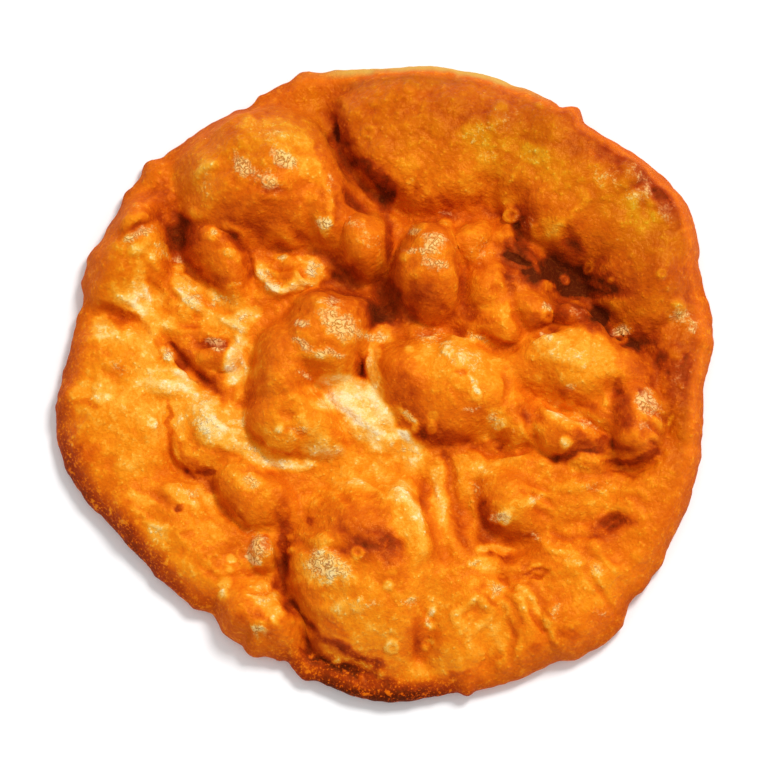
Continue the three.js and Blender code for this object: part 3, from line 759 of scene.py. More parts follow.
def normals_of(points):
    """Direction out of the skin at each point."""
    a, b, c = (points[triangles[:, k]] for k in range(3))
    face = np.cross(b - a, c - a)
    total = np.stack([
        sum(np.bincount(triangles[:, k], face[:, axis], len(points)) for k in range(3))
        for axis in range(3)
    ], 1)
    return total / np.linalg.norm(total, axis=1, keepdims=True)


# %% [markdown]
# ## Bulging flanks and raised skin
#
# A cap worked out as a height can't hang over, but a real bubble does: it is widest a little
# above its foot. So steep flanks are pushed outwards, except right down in a fold. Then the
# blisters and wrinkles are raised along the direction out of the skin, so that those on a
# flank stand out sideways as they should.

# %% Pushing out the flanks and raising the skin
BULGE = 0.8
BULGE_SURROUND = 7
BULGE_FROM = -1.5
BULGE_FULL = 2.5
EDGE_HILLS = ((5, 0.35, 21), (2.2, 0.22, 23), (1.1, 0.1, 25))
REST_RADIUS = 45

surround = blurred(heights, BULGE_SURROUND)
above = read_board(heights, x, y) - read_board(surround, x, y)
above = np.clip((above - BULGE_FROM) / (BULGE_FULL - BULGE_FROM), 0, 1)
outward = normals_of(points)
steep = np.hypot(outward[:, 0], outward[:, 1]) * (level == 1)
points[:, 0] += BULGE * outward[:, 0] * steep * above
points[:, 1] += BULGE * outward[:, 1] * steep * above


def uneven_solid(points, size, seed):
    """Soft random hills in space, so that the edge and the underside have them too."""
    px, py, pz = points.T
    return (uneven(px + 0.7 * pz, py, size, seed) + uneven(py, pz + 0.6 * px, size, seed + 1)) / 1.4


outward = normals_of(points)
on_top = np.clip(level, 0, 1)
lift = on_top * read_board(skin, x, y)
for size, rise, seed in EDGE_HILLS:
    lift += (1 - on_top) * rise * uneven_solid(points, size, seed)
centre_flat = hump(np.hypot(x, y) / REST_RADIUS) * (level == -1)
lift *= 1 - centre_flat
points += outward * lift[:, None]
points[:, 2] = np.maximum(points[:, 2], 0)
print("the bread is", np.ptp(points, axis=0).round(1), "mm")

# %% [markdown]
# ## How far each place is fried, with painted light and shade
#
# Dough goes through the same colours everywhere: cream, gold, orange, red-brown, black. So
# one number per place, from 0 for raw to 1 for burnt, says how far it got. A formula could
# say that hollows are dark and crowns are gold, but a real bread has its own history: one
# valley stayed cream, another was scorched. So most of the number is laid on in listed
# patches, in three coats. Wide patches come first. They add to the number or take away from it.
# Part of the number is painted light and shade: it is raised in clefts, hollows, under bubbles and
# on steep flanks, and lowered on crowns, raised skin and lit slopes.

# %% Patches laid one by one
Patch = namedtuple("Patch", "x y length width turn change")
PATCHES = [Patch(*row) for row in [
    # cream dough that was folded in and stayed out of the oil
    (-6, -10, 13, 8, -50, -0.6), (-12, -6, 8, 4.5, 0, -0.5), (4, -21, 8, 4, -30, -0.5),
    (-2.5, 6, 2.8, 8, 0, -0.36), (-31, -26.5, 10, 2.6, -4, -0.42), (28, -26, 8, 3, 0, -0.36),
    (-71, 22, 9, 8, -30, -0.34), (-57, 22, 11, 7, -30, -0.3), (-44, 15, 8, 7, 0, -0.2),
    (-44, 3, 4, 9, 0, -0.38), (-32, 27, 8, 5, -25, -0.24), (-24, 30, 6, 3.5, -10, -0.22),
    (-48, -65.5, 3, 3, 0, -0.12), (-16, -22, 7, 3, -10, -0.34), (32, -56, 6, 3, -10, -0.36),
    (-26, -17, 12, 6, 0, -0.16), (-62, -4, 11, 6, -30, -0.3), (-70, 36, 6, 4, 30, -0.3),
    # gold crowns, some of them painted light on slopes that face the light
    (-36, 70, 24, 13, 0, -0.04), (-27, 64, 6, 14, 10, -0.08), (-78, -5, 18, 26, 0, -0.16),
    (21, 2, 17, 9, -14, -0.2), (58, 5, 20, 8, -12, -0.2), (56, -13.5, 11, 4.5, -30, -0.24),
    (-50, -17, 13, 9, -35, -0.27), (-14, -64, 9, 9, 0, -0.12), (6, -45, 4, 14, 14, -0.16),
    (30, -72, 18, 13, 0, -0.14), (58, -60, 16, 9, 30, -0.12), (54, 56, 12, 8, -30, -0.1),
    (79, 42, 9, 8, 0, -0.1), (34, 18, 6, 4, 0, -0.18), (-8, -31, 18, 7, 0, -0.16),
    (-66, -50, 16, 7, -40, -0.14), (62, -34, 18, 9, 0, -0.1), (26, 68, 8, 6, 0, -0.08),
    (-2, -78, 13, 6, 0, -0.14), (-75, 50, 6, 5, 30, -0.16), (-36, -37, 8, 5, -30, -0.12),
    (38, -38, 9, 6, 0, -0.08), (-20, -2, 9, 4, -20, -0.1), (-15, 12, 9, 8, 0, -0.08),
    (-38, -69, 13, 8, -30, -0.02), (-37, -55, 7, 7, 0, -0.1), (-17, -58, 9, 8, 0, -0.08),
    (18, -40, 7, 14, 0, -0.08), (36, -14, 8, 6, 0, -0.12), (57, -4, 9, 5, 0, -0.08),
    (-53, 56, 7, 12, 0, -0.08), (-38, -81, 10, 5, -10, -0.04), (-55, -38, 7, 7, 0, -0.16),
    (-83, 13, 6, 4, -30, -0.12), (-75, 12, 5, 3.5, -10, -0.14), (-71, 2, 5, 6, 0, -0.14),
    (-84, -6, 8, 4, 10, -0.12), (-70, -13, 9, 6, -20, -0.14), (-74, -26, 8, 5, 0, -0.1),
    (61, -28, 7, 3, -10, -0.18), (-6, -30, 12, 5, 0, -0.14), (12, -68, 7, 8, 0, -0.12),
    (16, -84, 13, 6, 0, -0.12), (-26, 42, 8, 5, 0, -0.08), (84, 18, 8, 8, 0, -0.1),
    (-22, -54, 7, 7, 0, -0.08), (31, 68, 14, 8, 10, -0.1), (46, 64, 9, 6, 0, -0.1),
    (73, 46, 10, 8, 0, -0.08), (64, 58, 12, 8, 0, -0.06), (-24, 67, 6, 9, 20, -0.08),
    (6, -44, 5, 14, 14, -0.1), (17, -39, 3, 12, 8, -0.12), (-20, -10, 5, 6, 0, -0.1),
    (12, 36, 7, 6, 0, -0.08), (-50, 7, 5, 4, 0, -0.1),
    # the far side, which browned more evenly
    (60, 62, 46, 24, -34, 0.1), (82, 32, 30, 15, 80, 0.13), (88, -12, 32, 11, 88, 0.1),
    (10, 79, 34, 13, -4, 0.08), (-17, 62, 5, 14, 12, 0.12), (-38, 76, 18, 5, 8, 0.08),
    # folds and hollows, darker partly from hot oil and partly as painted shade
    (6, 22, 12, 10, 20, 0.14), (-13, 28, 12, 8, -30, 0.17), (-61, 43, 5, 14, 20, 0.14),
    (-66, 50, 4, 10, 35, 0.16), (41, 44, 8, 9, 0, 0.12), (57, 31, 18, 9, -22, 0.24),
    (73, 13, 16, 9, -40, 0.16), (84, -2, 7, 11, 10, 0.12), (6, -6, 4.5, 11, 20, 0.3),
    (16, -21, 14, 5, -8, 0.18), (70, -13, 5, 10, 0, 0.08), (79, -13, 4, 8, 0, -0.08),
    (57, -22, 12, 5, -20, 0.1), (-30, -55, 3, 22, 2, 0.16), (-22, -79, 11, 3, -45, 0.2),
    (-4, -50, 10, 7, -30, 0.2), (32, -47, 9, 6, -30, 0.14), (68, -45, 7, 4, 0, 0.3),
    (-8, 56, 9, 13, -30, 0.16), (-36, 43, 22, 8, -8, 0.12), (12, -75, 5, 10, 0, 0.1),
    (-51, 7, 9, 5, -10, 0.16), (-57, 0, 9, 3, -50, 0.12), (22, 50, 16, 3, 0, 0.14),
    (46, 15, 10, 5, 0, 0.12), (-40, -76, 8, 2, -10, 0.22), (-40, -9, 4, 16, 0, 0.1),
    (-79, 17.5, 9, 2.6, -30, 0.16), (-70, 9, 3, 6, 20, 0.1), (-63, -20, 2.2, 7, 0, 0.2),
    (-59.5, -27, 2.2, 5, 35, 0.2), (-54, -31, 6, 2.4, -20, 0.22), (-48, -39, 2.4, 9, 20, 0.16),
    (-13, 73, 3, 7, 10, 0.2), (41, 45, 5, 6, 0, 0.12), (38, 36, 3.5, 3.5, 0, 0.12),
    (10, -79, 5, 6, 0, 0.12), (48, 15, 5, 4, 0, 0.1), (50, 32, 10, 6, -20, 0.24),
    (62, 18, 9, 5, -35, 0.14), (37, 32, 5, 6, 0, 0.12), (12, 24, 9, 6, 0, 0.12),
    (22, 18, 7, 5, 0, 0.12), (2, 18, 6, 6, 0, 0.08), (76, 8, 8, 6, -40, 0.14),
    (48, -66, 6, 6, 0, 0.07), (-4, -52, 11, 7, -20, 0.08), (-73, 53, 5, 5, 0, 0.12),
    # scorched spots, partly painted shadow in clefts and under the wing and the end bubble
    (-1, 56, 6, 4, -45, 0.26), (-11, 67, 6, 4, -60, 0.12), (54, 31, 13, 5, -22, 0.2),
    (39, 35, 5, 3, -20, 0.3), (63, 25, 7, 3, -20, 0.22), (-60, 41, 3, 6, 20, 0.08),
    (-2, 24, 4, 9, 0, 0.12), (-16, -87, 17, 6, -22, 0.26), (6, -94, 24, 3.5, 2, 0.2),
    (-6.5, 1, 1.6, 4, 0, 0.4), (73, -28.5, 11, 1.6, 6, 0.2), (54, -26.5, 6, 1.6, -4, 0.2),
]]
BROWNED = [Patch(*row) for row in [
    (12, 78, 44, 18, -4, 0.6), (57, 64, 42, 24, -34, 0.7), (80, 38, 30, 17, 78, 0.6),
    (90, -6, 30, 9, 90, 0.8), (-40, 70, 26, 12, 20, 0.5), (-80, 34, 14, 8, 60, 0.4),
    (60, 76, 22, 4, -38, 0.7), (10, 91, 40, 3, 0, 0.7),
]]
print(len(PATCHES), "patches,", len(BROWNED), "where the whole crust is browner")

# %% [markdown]
# ### Tones
#
# The second coat is finer: every stain, pale scale and dark crease that the eye can pick out
# has its own ellipse and its own number, laid over what is there with a fairly firm border.
# Many dark ones are painted shade, in clefts and under bubbles, and a few pale ones are
# painted light on slopes that face the light.
# Later ones cover earlier ones, as strokes of paint do. Like the scales, they lie where a
# place is seen. Dark ones are eased, because the folds that they lie in have a shadow too.

# %% Tones laid over the patches
Tone = namedtuple("Tone", "x y length width turn tone share")
TONES = [Tone(*row) for row in [
    # west shoulder, and the cleft beside the dome with painted shade in it
    (-75, 51, 4.5, 1.5, 15, 0.27, 0.6), (-74, 55, 5, 2, -5, 0.5, 0.5), (-86, 33, 4, 9, 0, 0.6, 0.6),
    (-74, 33, 6, 4, 0, 0.42, 0.6), (-66.5, 38, 3, 1.8, -50, 0.2, 0.85),
    (-73, 42.5, 7, 2, 32, 0.24, 0.8), (-77, 47, 5, 2.5, 30, 0.48, 0.5),
    (-67.5, 43, 2, 3, 10, 0.44, 0.6), (-65, 51, 3, 9, 18, 0.76, 0.9),
    (-67, 55, 4, 3, -20, 0.7, 0.8), (-61, 43.5, 3.4, 6, 15, 0.93, 0.95),
    (-57, 42, 3, 4, 0, 0.8, 0.7), (-57, 36, 3.5, 2.5, -40, 0.64, 0.7),
    (-52, 30, 6, 2.2, -20, 0.68, 0.8), (-48, 28, 5, 2, -10, 0.7, 0.7),
    (-70, 32, 3, 3, 0, 0.46, 0.6), (-65.8, 28, 2.4, 6, 8, 0.52, 0.8),
    # pale hollows in the west
    (-77, 25.5, 5, 3.5, -15, 0.28, 0.8), (-71.5, 24, 6, 4.3, -25, 0.14, 0.95),
    (-69, 24, 2.6, 4, 20, 0.08, 0.9), (-73, 31, 2.5, 3, 0, 0.24, 0.7),
    (-71, 18.5, 5, 2.2, -20, 0.2, 0.8), (-60.5, 27, 5, 2.4, -45, 0.14, 0.95),
    (-57, 23, 3.4, 2.8, -20, 0.1, 0.9), (-52, 23, 4, 2, 0, 0.24, 0.8),
    (-46, 22, 5, 2, 0, 0.26, 0.7), (-64, 21, 2.4, 3, 0, 0.48, 0.6),
    (-60, 19, 7, 1.4, -4, 0.42, 0.7), (-55, 20, 5, 1.6, 0, 0.3, 0.7),
    (-42, 17, 5.2, 3, 25, 0.13, 0.95), (-46.5, 12.5, 2.5, 2, 0, 0.3, 0.7),
    (-44.6, 4.5, 2.8, 8, -12, 0.05, 0.95), (-40, 6, 1.6, 8, 6, 0.3, 0.8),
    (-62, 16.8, 8, 1.1, 0, 0.32, 0.7), (-65, 14.5, 3, 2.2, 0, 0.34, 0.7),
    # knob, its red crease, and the knuckle
    (-57, 11, 7, 4, -10, 0.56, 0.8), (-51, 9.5, 4.5, 2.8, -10, 0.6, 0.9),
    (-55, 6, 4, 2, -20, 0.44, 0.8), (-61, 7.6, 3.8, 1.2, -38, 0.86, 0.95),
    (-57, 3.4, 4.4, 1.7, -46, 0.8, 0.95), (-53, -0.5, 3.6, 2, -25, 0.84, 0.9),
    (-49.5, -5.5, 2.4, 1.5, -50, 0.7, 0.8), (-65, 6.5, 3, 1.5, -45, 0.16, 0.9),
    (-48, 10, 2.4, 2.6, 0, 0.74, 0.6), (-48, 38, 6, 4, -50, 0.5, 0.8),
    (-51, 43.2, 2, 1, -20, 0.1, 0.9), (-46, 36.2, 3, 1.6, -25, 0.3, 0.8),
    (-43.5, 40.5, 4, 1.8, -50, 0.76, 0.8), (-40.5, 33, 1.6, 5, 8, 0.74, 0.8),
    (-44.5, 27, 2, 0.9, 0, 0.26, 0.9), (-46, 45.5, 5, 1.4, -28, 0.5, 0.7),
    # west apron
    (-80, 19.5, 6.5, 1.8, -30, 0.64, 0.95), (-75.8, 17, 2.4, 2.2, -30, 0.6, 0.9),
    (-84, 14, 3.4, 5.4, 32, 0.17, 0.9), (-73.5, 12.5, 4.5, 4, 0, 0.22, 0.8),
    (-70, 6, 2.6, 6, 12, 0.18, 0.9), (-92, 7, 3, 7, 14, 0.6, 0.7), (-81, 2, 4, 2.5, -20, 0.5, 0.5),
    (-77, 1, 3, 1.5, -20, 0.5, 0.6), (-62, -2, 7, 3.4, -14, 0.1, 0.95),
    (-54.5, -7.5, 5, 2.8, 0, 0.15, 0.9), (-66, -7, 5, 2.5, -10, 0.24, 0.7),
    (-87, -5, 6, 3, -14, 0.22, 0.8), (-88.5, -8.6, 4, 1.3, -8, 0.54, 0.8),
    (-73, -15, 8, 9, 0, 0.3, 0.5), (-72, -17, 4, 2, 0, 0.4, 0.6),
    (-64, -13.5, 1.1, 5.4, 2, 0.6, 0.95), (-62.8, -20.5, 1.4, 3.6, 28, 0.7, 0.95),
    (-58, -26, 5, 1.5, -42, 0.8, 0.95), (-53, -28.8, 3.4, 1.3, -6, 0.84, 0.95),
    (-60.5, -13, 1.8, 5, 20, 0.22, 0.9), (-57, -20, 2, 5, 35, 0.34, 0.7),
    (-51, -14, 8, 3.8, -34, 0.14, 0.95), (-44, -14, 6, 5, -20, 0.17, 0.9),
    (-40, -22.5, 6.5, 3.2, -14, 0.14, 0.95), (-49, -19.5, 4, 2.6, -20, 0.22, 0.8),
    (-47, -24.5, 4.5, 2.4, -20, 0.5, 0.85), (-44, -28, 3, 3, 0, 0.26, 0.7),
    (-53, -24, 4, 1.8, -25, 0.4, 0.8), (-45, -36, 6.5, 3.6, -48, 0.6, 0.8),
    (-45.5, -40, 6, 1.4, -42, 0.74, 0.85), (-40, -32, 4.6, 2.1, 0, 0.24, 0.85),
    (-36, -37, 5, 4, 0, 0.56, 0.6), (-60, -33.5, 7, 3, -15, 0.34, 0.7),
    (-57, -36.5, 7, 2.2, -18, 0.24, 0.8), (-60.3, -39.4, 1.4, 1.2, 0, 0.86, 1),
    (-55, -42, 5, 1.6, -30, 0.5, 0.6), (-73, -37, 4, 2, -20, 0.24, 0.8),
    (-66.5, -47, 3, 4, 0, 0.2, 0.8), (-68, -42, 4, 3, 0, 0.5, 0.6),
    (-52, -48, 4, 3.4, 0, 0.28, 0.8), (-46, -55, 1.4, 1.4, 0, 0.16, 1),
    (-60, -46, 6, 2.6, -30, 0.48, 0.6), (-55, -57, 4, 2.2, -20, 0.34, 0.7),
    (-91, -25, 4, 8, -66, 0.78, 0.6), (-94, -13, 2, 8, 4, 0.7, 0.6),
    (-82, -40, 3, 1.4, -40, 0.28, 0.9), (-77, -45, 4, 2, -35, 0.74, 0.7),
    # north-west dome, with painted light on its right side and painted shade on its lower skirt
    (-57, 57, 4, 9, 0, 0.44, 0.6), (-53, 60, 2.5, 8, 0, 0.34, 0.7), (-48, 53, 5, 9, 0, 0.5, 0.5),
    (-34, 74, 9, 4, -10, 0.34, 0.85), (-27, 68, 6, 5, -30, 0.3, 0.85),
    (-22.6, 64, 3, 8, 16, 0.3, 0.95), (-32, 76, 4, 2, 0, 0.28, 0.6), (-42, 70, 5, 4, 0, 0.44, 0.6),
    (-30, 53, 9, 3.4, -10, 0.66, 0.8), (-41, 50, 7, 5, -10, 0.66, 0.7),
    (-25, 56, 4, 4, 0, 0.56, 0.7), (-37, 45, 8, 2.5, -10, 0.72, 0.7),
    (-36, 54.6, 2.2, 1.3, -20, 0.8, 0.8), (-18.2, 72, 2, 9, 4, 0.56, 0.8),
    (-17, 58, 2, 6, 4, 0.42, 0.8), (-14.5, 58, 1.8, 7, 12, 0.6, 0.8),
    (-20, 51, 5, 2.6, 0, 0.5, 0.7), (-18.5, 45.5, 3.4, 3.4, 0, 0.3, 0.9),
    (-26, 44, 4, 4, 0, 0.58, 0.6), (-24, 40, 6, 2.4, -10, 0.62, 0.7),
    # cleft between dome and plateau, dark partly as painted shade
    (-15, 82, 2, 4, 0, 0.66, 0.8), (-13, 72.5, 1.8, 7.5, 10, 0.86, 0.95),
    (-10.6, 66.5, 2.2, 3.6, 30, 0.88, 0.95), (-6, 63.5, 2, 4.4, 60, 0.93, 0.95),
    (-1, 58.5, 3, 6, 42, 0.97, 1), (1.8, 54, 2, 2.4, 0, 0.95, 0.95),
    (-7, 54.8, 1.4, 3.2, 30, 0.78, 0.9), (-4.4, 57.4, 1.2, 3, 38, 0.6, 0.8),
    (16, 52.6, 5.4, 1.3, -4, 0.78, 0.9), (8, 55, 4, 2.4, -20, 0.66, 0.7),
    (7, 57.6, 1.4, 2, 0, 0.34, 0.8),
    # plateau
    (26, 73, 5, 3.2, -10, 0.32, 0.8), (30, 66.5, 5, 3, -30, 0.31, 0.8),
    (26, 58, 3.6, 2.4, -20, 0.38, 0.7), (19, 67, 3, 7, 10, 0.58, 0.6), (36, 77, 7, 5, 0, 0.5, 0.4),
    (0, 84, 5, 4, 0, 0.46, 0.5), (12, 74, 6, 5, 0, 0.5, 0.4), (7, 66, 5, 5, 0, 0.44, 0.5),
    (34, 63, 5, 3, 20, 0.5, 0.6), (44, 66.3, 5, 3.2, -10, 0.3, 0.85),
    (39, 69.6, 5, 2, -10, 0.32, 0.7), (52, 59, 3.4, 3, 0, 0.4, 0.6), (66, 60, 6, 4, -20, 0.36, 0.7),
    (75, 52.5, 6, 3.2, 0, 0.33, 0.8), (77, 46.5, 6, 4, -10, 0.36, 0.8),
    (76, 60, 7, 2.4, -36, 0.56, 0.6), (60, 53, 6, 4, 0, 0.46, 0.5), (47, 74, 8, 4, -20, 0.56, 0.5),
    (46, 83.5, 6, 2, -25, 0.4, 0.6), (88, 18.6, 4.6, 3.6, 0, 0.38, 0.7),
    (93, 14, 3, 3.6, 0, 0.42, 0.6), (92, 45, 2.4, 8, 0, 0.6, 0.6), (86, 38, 5, 6, 0, 0.48, 0.5),
    # scorched valley, partly painted shadow from the plateau beside it
    (65, 38, 5, 8, 10, 0.7, 0.6), (52, 37.5, 7.4, 3.6, -5, 0.82, 0.8),
    (57, 38, 3, 1.6, -20, 0.9, 0.7), (52.5, 31, 8.5, 3.2, -10, 1, 1),
    (46, 33, 3, 2.4, 0, 0.88, 0.8), (63.5, 28, 6.4, 2.6, -14, 0.96, 1),
    (56, 44.8, 2.2, 2, 0, 0.78, 0.9), (39.5, 38, 4.6, 2.4, -32, 0.98, 1),
    (41.5, 46.5, 4.8, 4.4, 0, 0.85, 0.9), (45, 50, 4, 3, 0, 0.74, 0.7),
    (38.3, 53, 2.2, 2, 0, 0.42, 0.9), (47, 36.5, 1.6, 2, 0, 0.72, 0.9),
    (48.4, 27.6, 1.8, 1.4, 0, 0.4, 0.9), (40, 33, 3.4, 1.1, -32, 0.56, 0.7),
    (36, 47.5, 1.2, 4, 20, 0.56, 0.7), (82.5, 28.4, 3, 1.4, 0, 0.7, 0.6),
    (65, 22.5, 6, 2.6, -10, 0.68, 0.8), (65, 16.8, 5, 1.7, -18, 0.92, 0.95),
    (76, 11.5, 6.4, 3, -24, 0.88, 0.9), (81, 15, 3, 4, 0, 0.72, 0.7),
    (70.5, 14, 3.4, 2, 0, 0.5, 0.8), (79, 7, 3, 2.4, -40, 0.66, 0.8),
    (58, 20, 4, 2.8, -30, 0.5, 0.8), (46.5, 17, 4, 2.6, 0, 0.8, 0.85),
    (52.5, 17.5, 2.4, 2.4, 0, 0.72, 0.8), (47.8, 20.5, 2, 1.8, 0, 0.5, 0.9),
    (72, 35, 6, 5, 0, 0.6, 0.5),
    # middle bubble and its neighbours, with painted shade beside and below it
    (12, 45, 8, 3, 0, 0.56, 0.6), (15, 40, 5, 3.6, 0, 0.42, 0.6), (9, 43.4, 2.6, 1.5, 0, 0.3, 0.7),
    (14, 33, 7, 3, 0, 0.5, 0.6), (1.2, 42, 1.4, 8, 0, 0.82, 0.85), (-15, 32, 8, 5, -20, 0.8, 0.85),
    (-6, 46.5, 6, 3.4, 0, 0.5, 0.7), (-8, 36, 6, 3, -10, 0.62, 0.7), (3.4, 28, 3, 6, 0, 0.74, 0.7),
    (0, 22, 5, 7, -20, 0.82, 0.8), (10, 20, 8, 3.6, 10, 0.74, 0.7), (25, 47, 3.4, 5, 0, 0.52, 0.6),
    (24, 44, 2.6, 1.6, -40, 0.34, 0.6), (29, 37, 3, 4, 0, 0.42, 0.5),
    (35, 33.4, 5, 2.6, -20, 0.5, 0.6), (34, 24, 5, 3, 0, 0.48, 0.5), (24, 28, 2, 6, 0, 0.66, 0.6),
    (27, 17.5, 7, 2, -8, 0.76, 0.8), (33, 19.5, 5, 1.6, 0, 0.34, 0.7),
    (32, 13.6, 4.6, 1.2, -10, 0.6, 0.7), (40, 22, 3, 6, 0, 0.54, 0.6),
    (37, 9, 4, 2.4, 40, 0.56, 0.8),
    # fold above the centre dome, the dome and its body
    (-36, 31, 2, 4, 14, 0.16, 0.95), (-33, 27, 3.4, 1.6, -30, 0.13, 0.95),
    (-27.5, 26.4, 3, 1.3, 14, 0.18, 0.9), (-21.5, 31, 3, 3.8, 0, 0.2, 0.95),
    (-24, 34.8, 2.6, 1.2, -10, 0.2, 0.9), (-31.5, 36, 2.6, 1.1, -12, 0.26, 0.9),
    (-29.4, 31.2, 2.4, 1.8, -30, 0.5, 0.9), (-24, 29.4, 3.4, 2.6, 10, 0.2, 0.8),
    (-24.6, 31.4, 0.6, 2.2, 20, 0.4, 0.8), (-22.2, 29.8, 0.6, 2, 30, 0.4, 0.7),
    (-31, 28.2, 2.6, 0.6, -50, 0.42, 0.8), (-34.4, 29.8, 0.6, 2, 24, 0.4, 0.7),
    (-27, 33.4, 3, 0.8, -6, 0.46, 0.8), (-38, 25, 3, 4, 30, 0.46, 0.6),
    (-36, 22, 5, 2, -10, 0.6, 0.8), (-30, 22.5, 6, 1.2, 26, 0.42, 0.8),
    (-27, 13, 8, 8, 0, 0.5, 0.7), (-33, 2, 5, 9, 0, 0.52, 0.7), (-17, 20, 7, 3, -20, 0.5, 0.6),
    (-13.5, 15.5, 8.4, 4.4, -32, 0.3, 0.6), (-18, 10.5, 5, 1.6, -20, 0.52, 0.8),
    (-14, 2.6, 7, 2, -6, 0.46, 0.8), (-26, 0, 6, 3.4, -10, 0.5, 0.7),
    (-38.6, 3, 1.8, 9, 2, 0.34, 0.7), (-39.5, -11, 1.8, 9, -2, 0.66, 0.6),
    (-30, -12, 8, 5, 0, 0.46, 0.6), (-24, -6, 5, 3, 0, 0.4, 0.7), (-30, -18, 8, 4, 0, 0.4, 0.6),
    (-6.3, 3.4, 1, 2.6, -8, 0.93, 1), (-2, 12.4, 5, 2.2, 0, 0.16, 0.9),
    (-2.4, 5, 1.5, 6.5, 4, 0.2, 0.95), (-30, -26.5, 9, 1.6, -2, 0.1, 0.9),
    (-20, -23, 5, 2, -14, 0.14, 0.85),
    # cream valley
    (-9, -5, 8, 4.6, -30, 0.03, 1), (-3, -12, 6, 5, -50, 0.02, 1), (3, -17.6, 6, 2.6, -32, 0.05, 1),
    (-17, -3.4, 5, 2.6, 0, 0.1, 0.95), (-4, -18.5, 5, 2, -10, 0.12, 0.9),
    # east lobe, with painted shade along its foot
    (5, 3, 4, 6, 0, 0.56, 0.7), (7, -5, 6, 6.4, 20, 0.7, 0.9), (3, -1, 3, 5, 20, 0.64, 0.8),
    (17, -18, 8.5, 2.6, -8, 0.82, 0.95), (20, -9, 8, 5, -10, 0.54, 0.7),
    (13, 12.5, 7, 3.4, -8, 0.52, 0.8), (22, 5.4, 11, 4.6, -18, 0.24, 0.9),
    (29, 10.4, 4.6, 1.3, -20, 0.13, 0.95), (24, 4.4, 4.4, 2.6, -20, 0.18, 0.8),
    (30, 2, 6, 4, 0, 0.34, 0.7), (26.6, -3.2, 1.2, 3.2, 20, 0.12, 1),
    (22.5, 1, 1.6, 0.9, -10, 0.74, 0.8), (26, -13, 7, 2.4, 0, 0.6, 0.7),
    (34, -13, 4, 3.2, 0, 0.3, 0.85), (33, -20.8, 5.4, 1.4, 10, 0.93, 0.95),
    (37, -17.6, 4, 1.6, 20, 0.74, 0.8), (6.5, -12.4, 3.6, 1, -35, 0.2, 0.95),
    (14, -12.4, 1.8, 1.6, 0, 0.28, 0.95), (7.5, -15.6, 3, 1.4, -30, 0.56, 0.9),
    (38, 0, 3, 5, 0, 0.36, 0.6), (40, -12, 4, 4, 0, 0.62, 0.7),
    # far east lobe, wing and end bubble, with painted shadow lines under the wing and the bubble
    (47, 10, 7, 3.6, 0, 0.32, 0.7), (54.5, 7.5, 7, 3.6, -14, 0.2, 0.95),
    (62, 8, 6, 4.4, -10, 0.27, 0.9), (57, 12.4, 4.4, 1.3, -8, 0.2, 0.95),
    (48.4, 12.6, 2, 1.8, 0, 0.3, 0.8), (44, 1, 6, 3.6, 0, 0.5, 0.7),
    (65, 1.5, 7, 2.2, 0, 0.32, 0.8), (74, 3, 6, 4.6, -10, 0.4, 0.7), (56, -2, 6, 2, -10, 0.44, 0.7),
    (57, -6.8, 8, 2, -24, 0.68, 0.95), (64, -11, 4, 1.6, -30, 0.76, 0.9),
    (68.4, -5, 1.8, 4.4, -14, 0.7, 0.75), (71, -12, 3.6, 4.4, 0, 0.7, 0.75),
    (63, -5, 3.6, 2.6, 0, 0.5, 0.6), (78, -10, 4, 6, 10, 0.42, 0.7), (82, -7, 2.4, 7, 0, 0.5, 0.6),
    (74.5, -20.4, 5.5, 1.8, 0, 0.56, 0.9), (73, -21.6, 7, 1.8, 0, 0.6, 0.8),
    (73, -26, 8, 1.1, 0, 0.84, 0.9), (66, -20.6, 4, 1.8, -14, 0.86, 0.9),
    (48, -8, 6, 2, -24, 0.44, 0.7), (56, -12.4, 8.6, 3, -30, 0.22, 0.95),
    (63, -15.4, 4.4, 1.4, -26, 0.26, 0.9), (55, -17.5, 6, 1.6, -8, 0.56, 0.8),
    (54.5, -21, 5.5, 2.4, 0, 0.62, 0.9), (53.6, -20.6, 1.8, 1.6, 0, 0.36, 0.9),
    (57, -24, 7, 1.3, 12, 0.93, 0.95), (52, -25.4, 4, 1, -10, 0.88, 0.9),
    (78, -24.4, 4, 1.1, 24, 0.88, 0.9), (62, -25, 4.6, 1.5, 0, 0.22, 0.95),
    (56.8, -27.6, 2.4, 1.8, 30, 0.24, 0.8), (44, -13, 5, 1.6, -10, 0.7, 0.7),
    (88, 1, 4, 6, 0, 0.76, 0.8), (85, 8, 4, 2, -30, 0.6, 0.7), (84.6, -14, 1, 1.8, -20, 0.22, 0.9),
    (88, -16, 4, 2, 0, 0.6, 0.6), (92, -10, 3, 9, 0, 0.56, 0.6),
    # south lobe
    (-4, -27, 9, 3, 0, 0.32, 0.8), (-1, -32, 7, 3, -30, 0.3, 0.8), (-16, -30, 6, 3, 0, 0.4, 0.7),
    (6, -22, 8, 2.2, -12, 0.24, 0.9), (5, -35, 3.4, 4, 30, 0.18, 0.9),
    (8.6, -42, 2.4, 6, 14, 0.2, 0.9), (11, -50, 1.8, 6, 6, 0.26, 0.8),
    (12, -36, 1.3, 6, 16, 0.52, 0.9), (15.6, -37, 1.6, 8, 12, 0.26, 0.9),
    (14, -46, 2.4, 6, 0, 0.36, 0.7), (18.4, -29, 1.2, 6, 4, 0.6, 0.9),
    (21.5, -46, 2.6, 8, -4, 0.54, 0.85), (24, -32, 5, 5, 0, 0.42, 0.6),
    (-8, -46, 6, 4.4, -20, 0.67, 0.9), (-2, -53, 8.6, 3.6, -8, 0.66, 0.9),
    (-6, -41, 8, 2, 0, 0.56, 0.7), (-25, -43, 4, 6, 0, 0.52, 0.7),
    (-22, -44, 1.2, 1.4, 0, 0.78, 0.9), (-28, -46.6, 1, 1.6, 0, 0.78, 0.9),
    (-17, -57, 8.4, 5.2, -22, 0.27, 0.85), (-14, -59, 4, 2.6, -10, 0.16, 0.8),
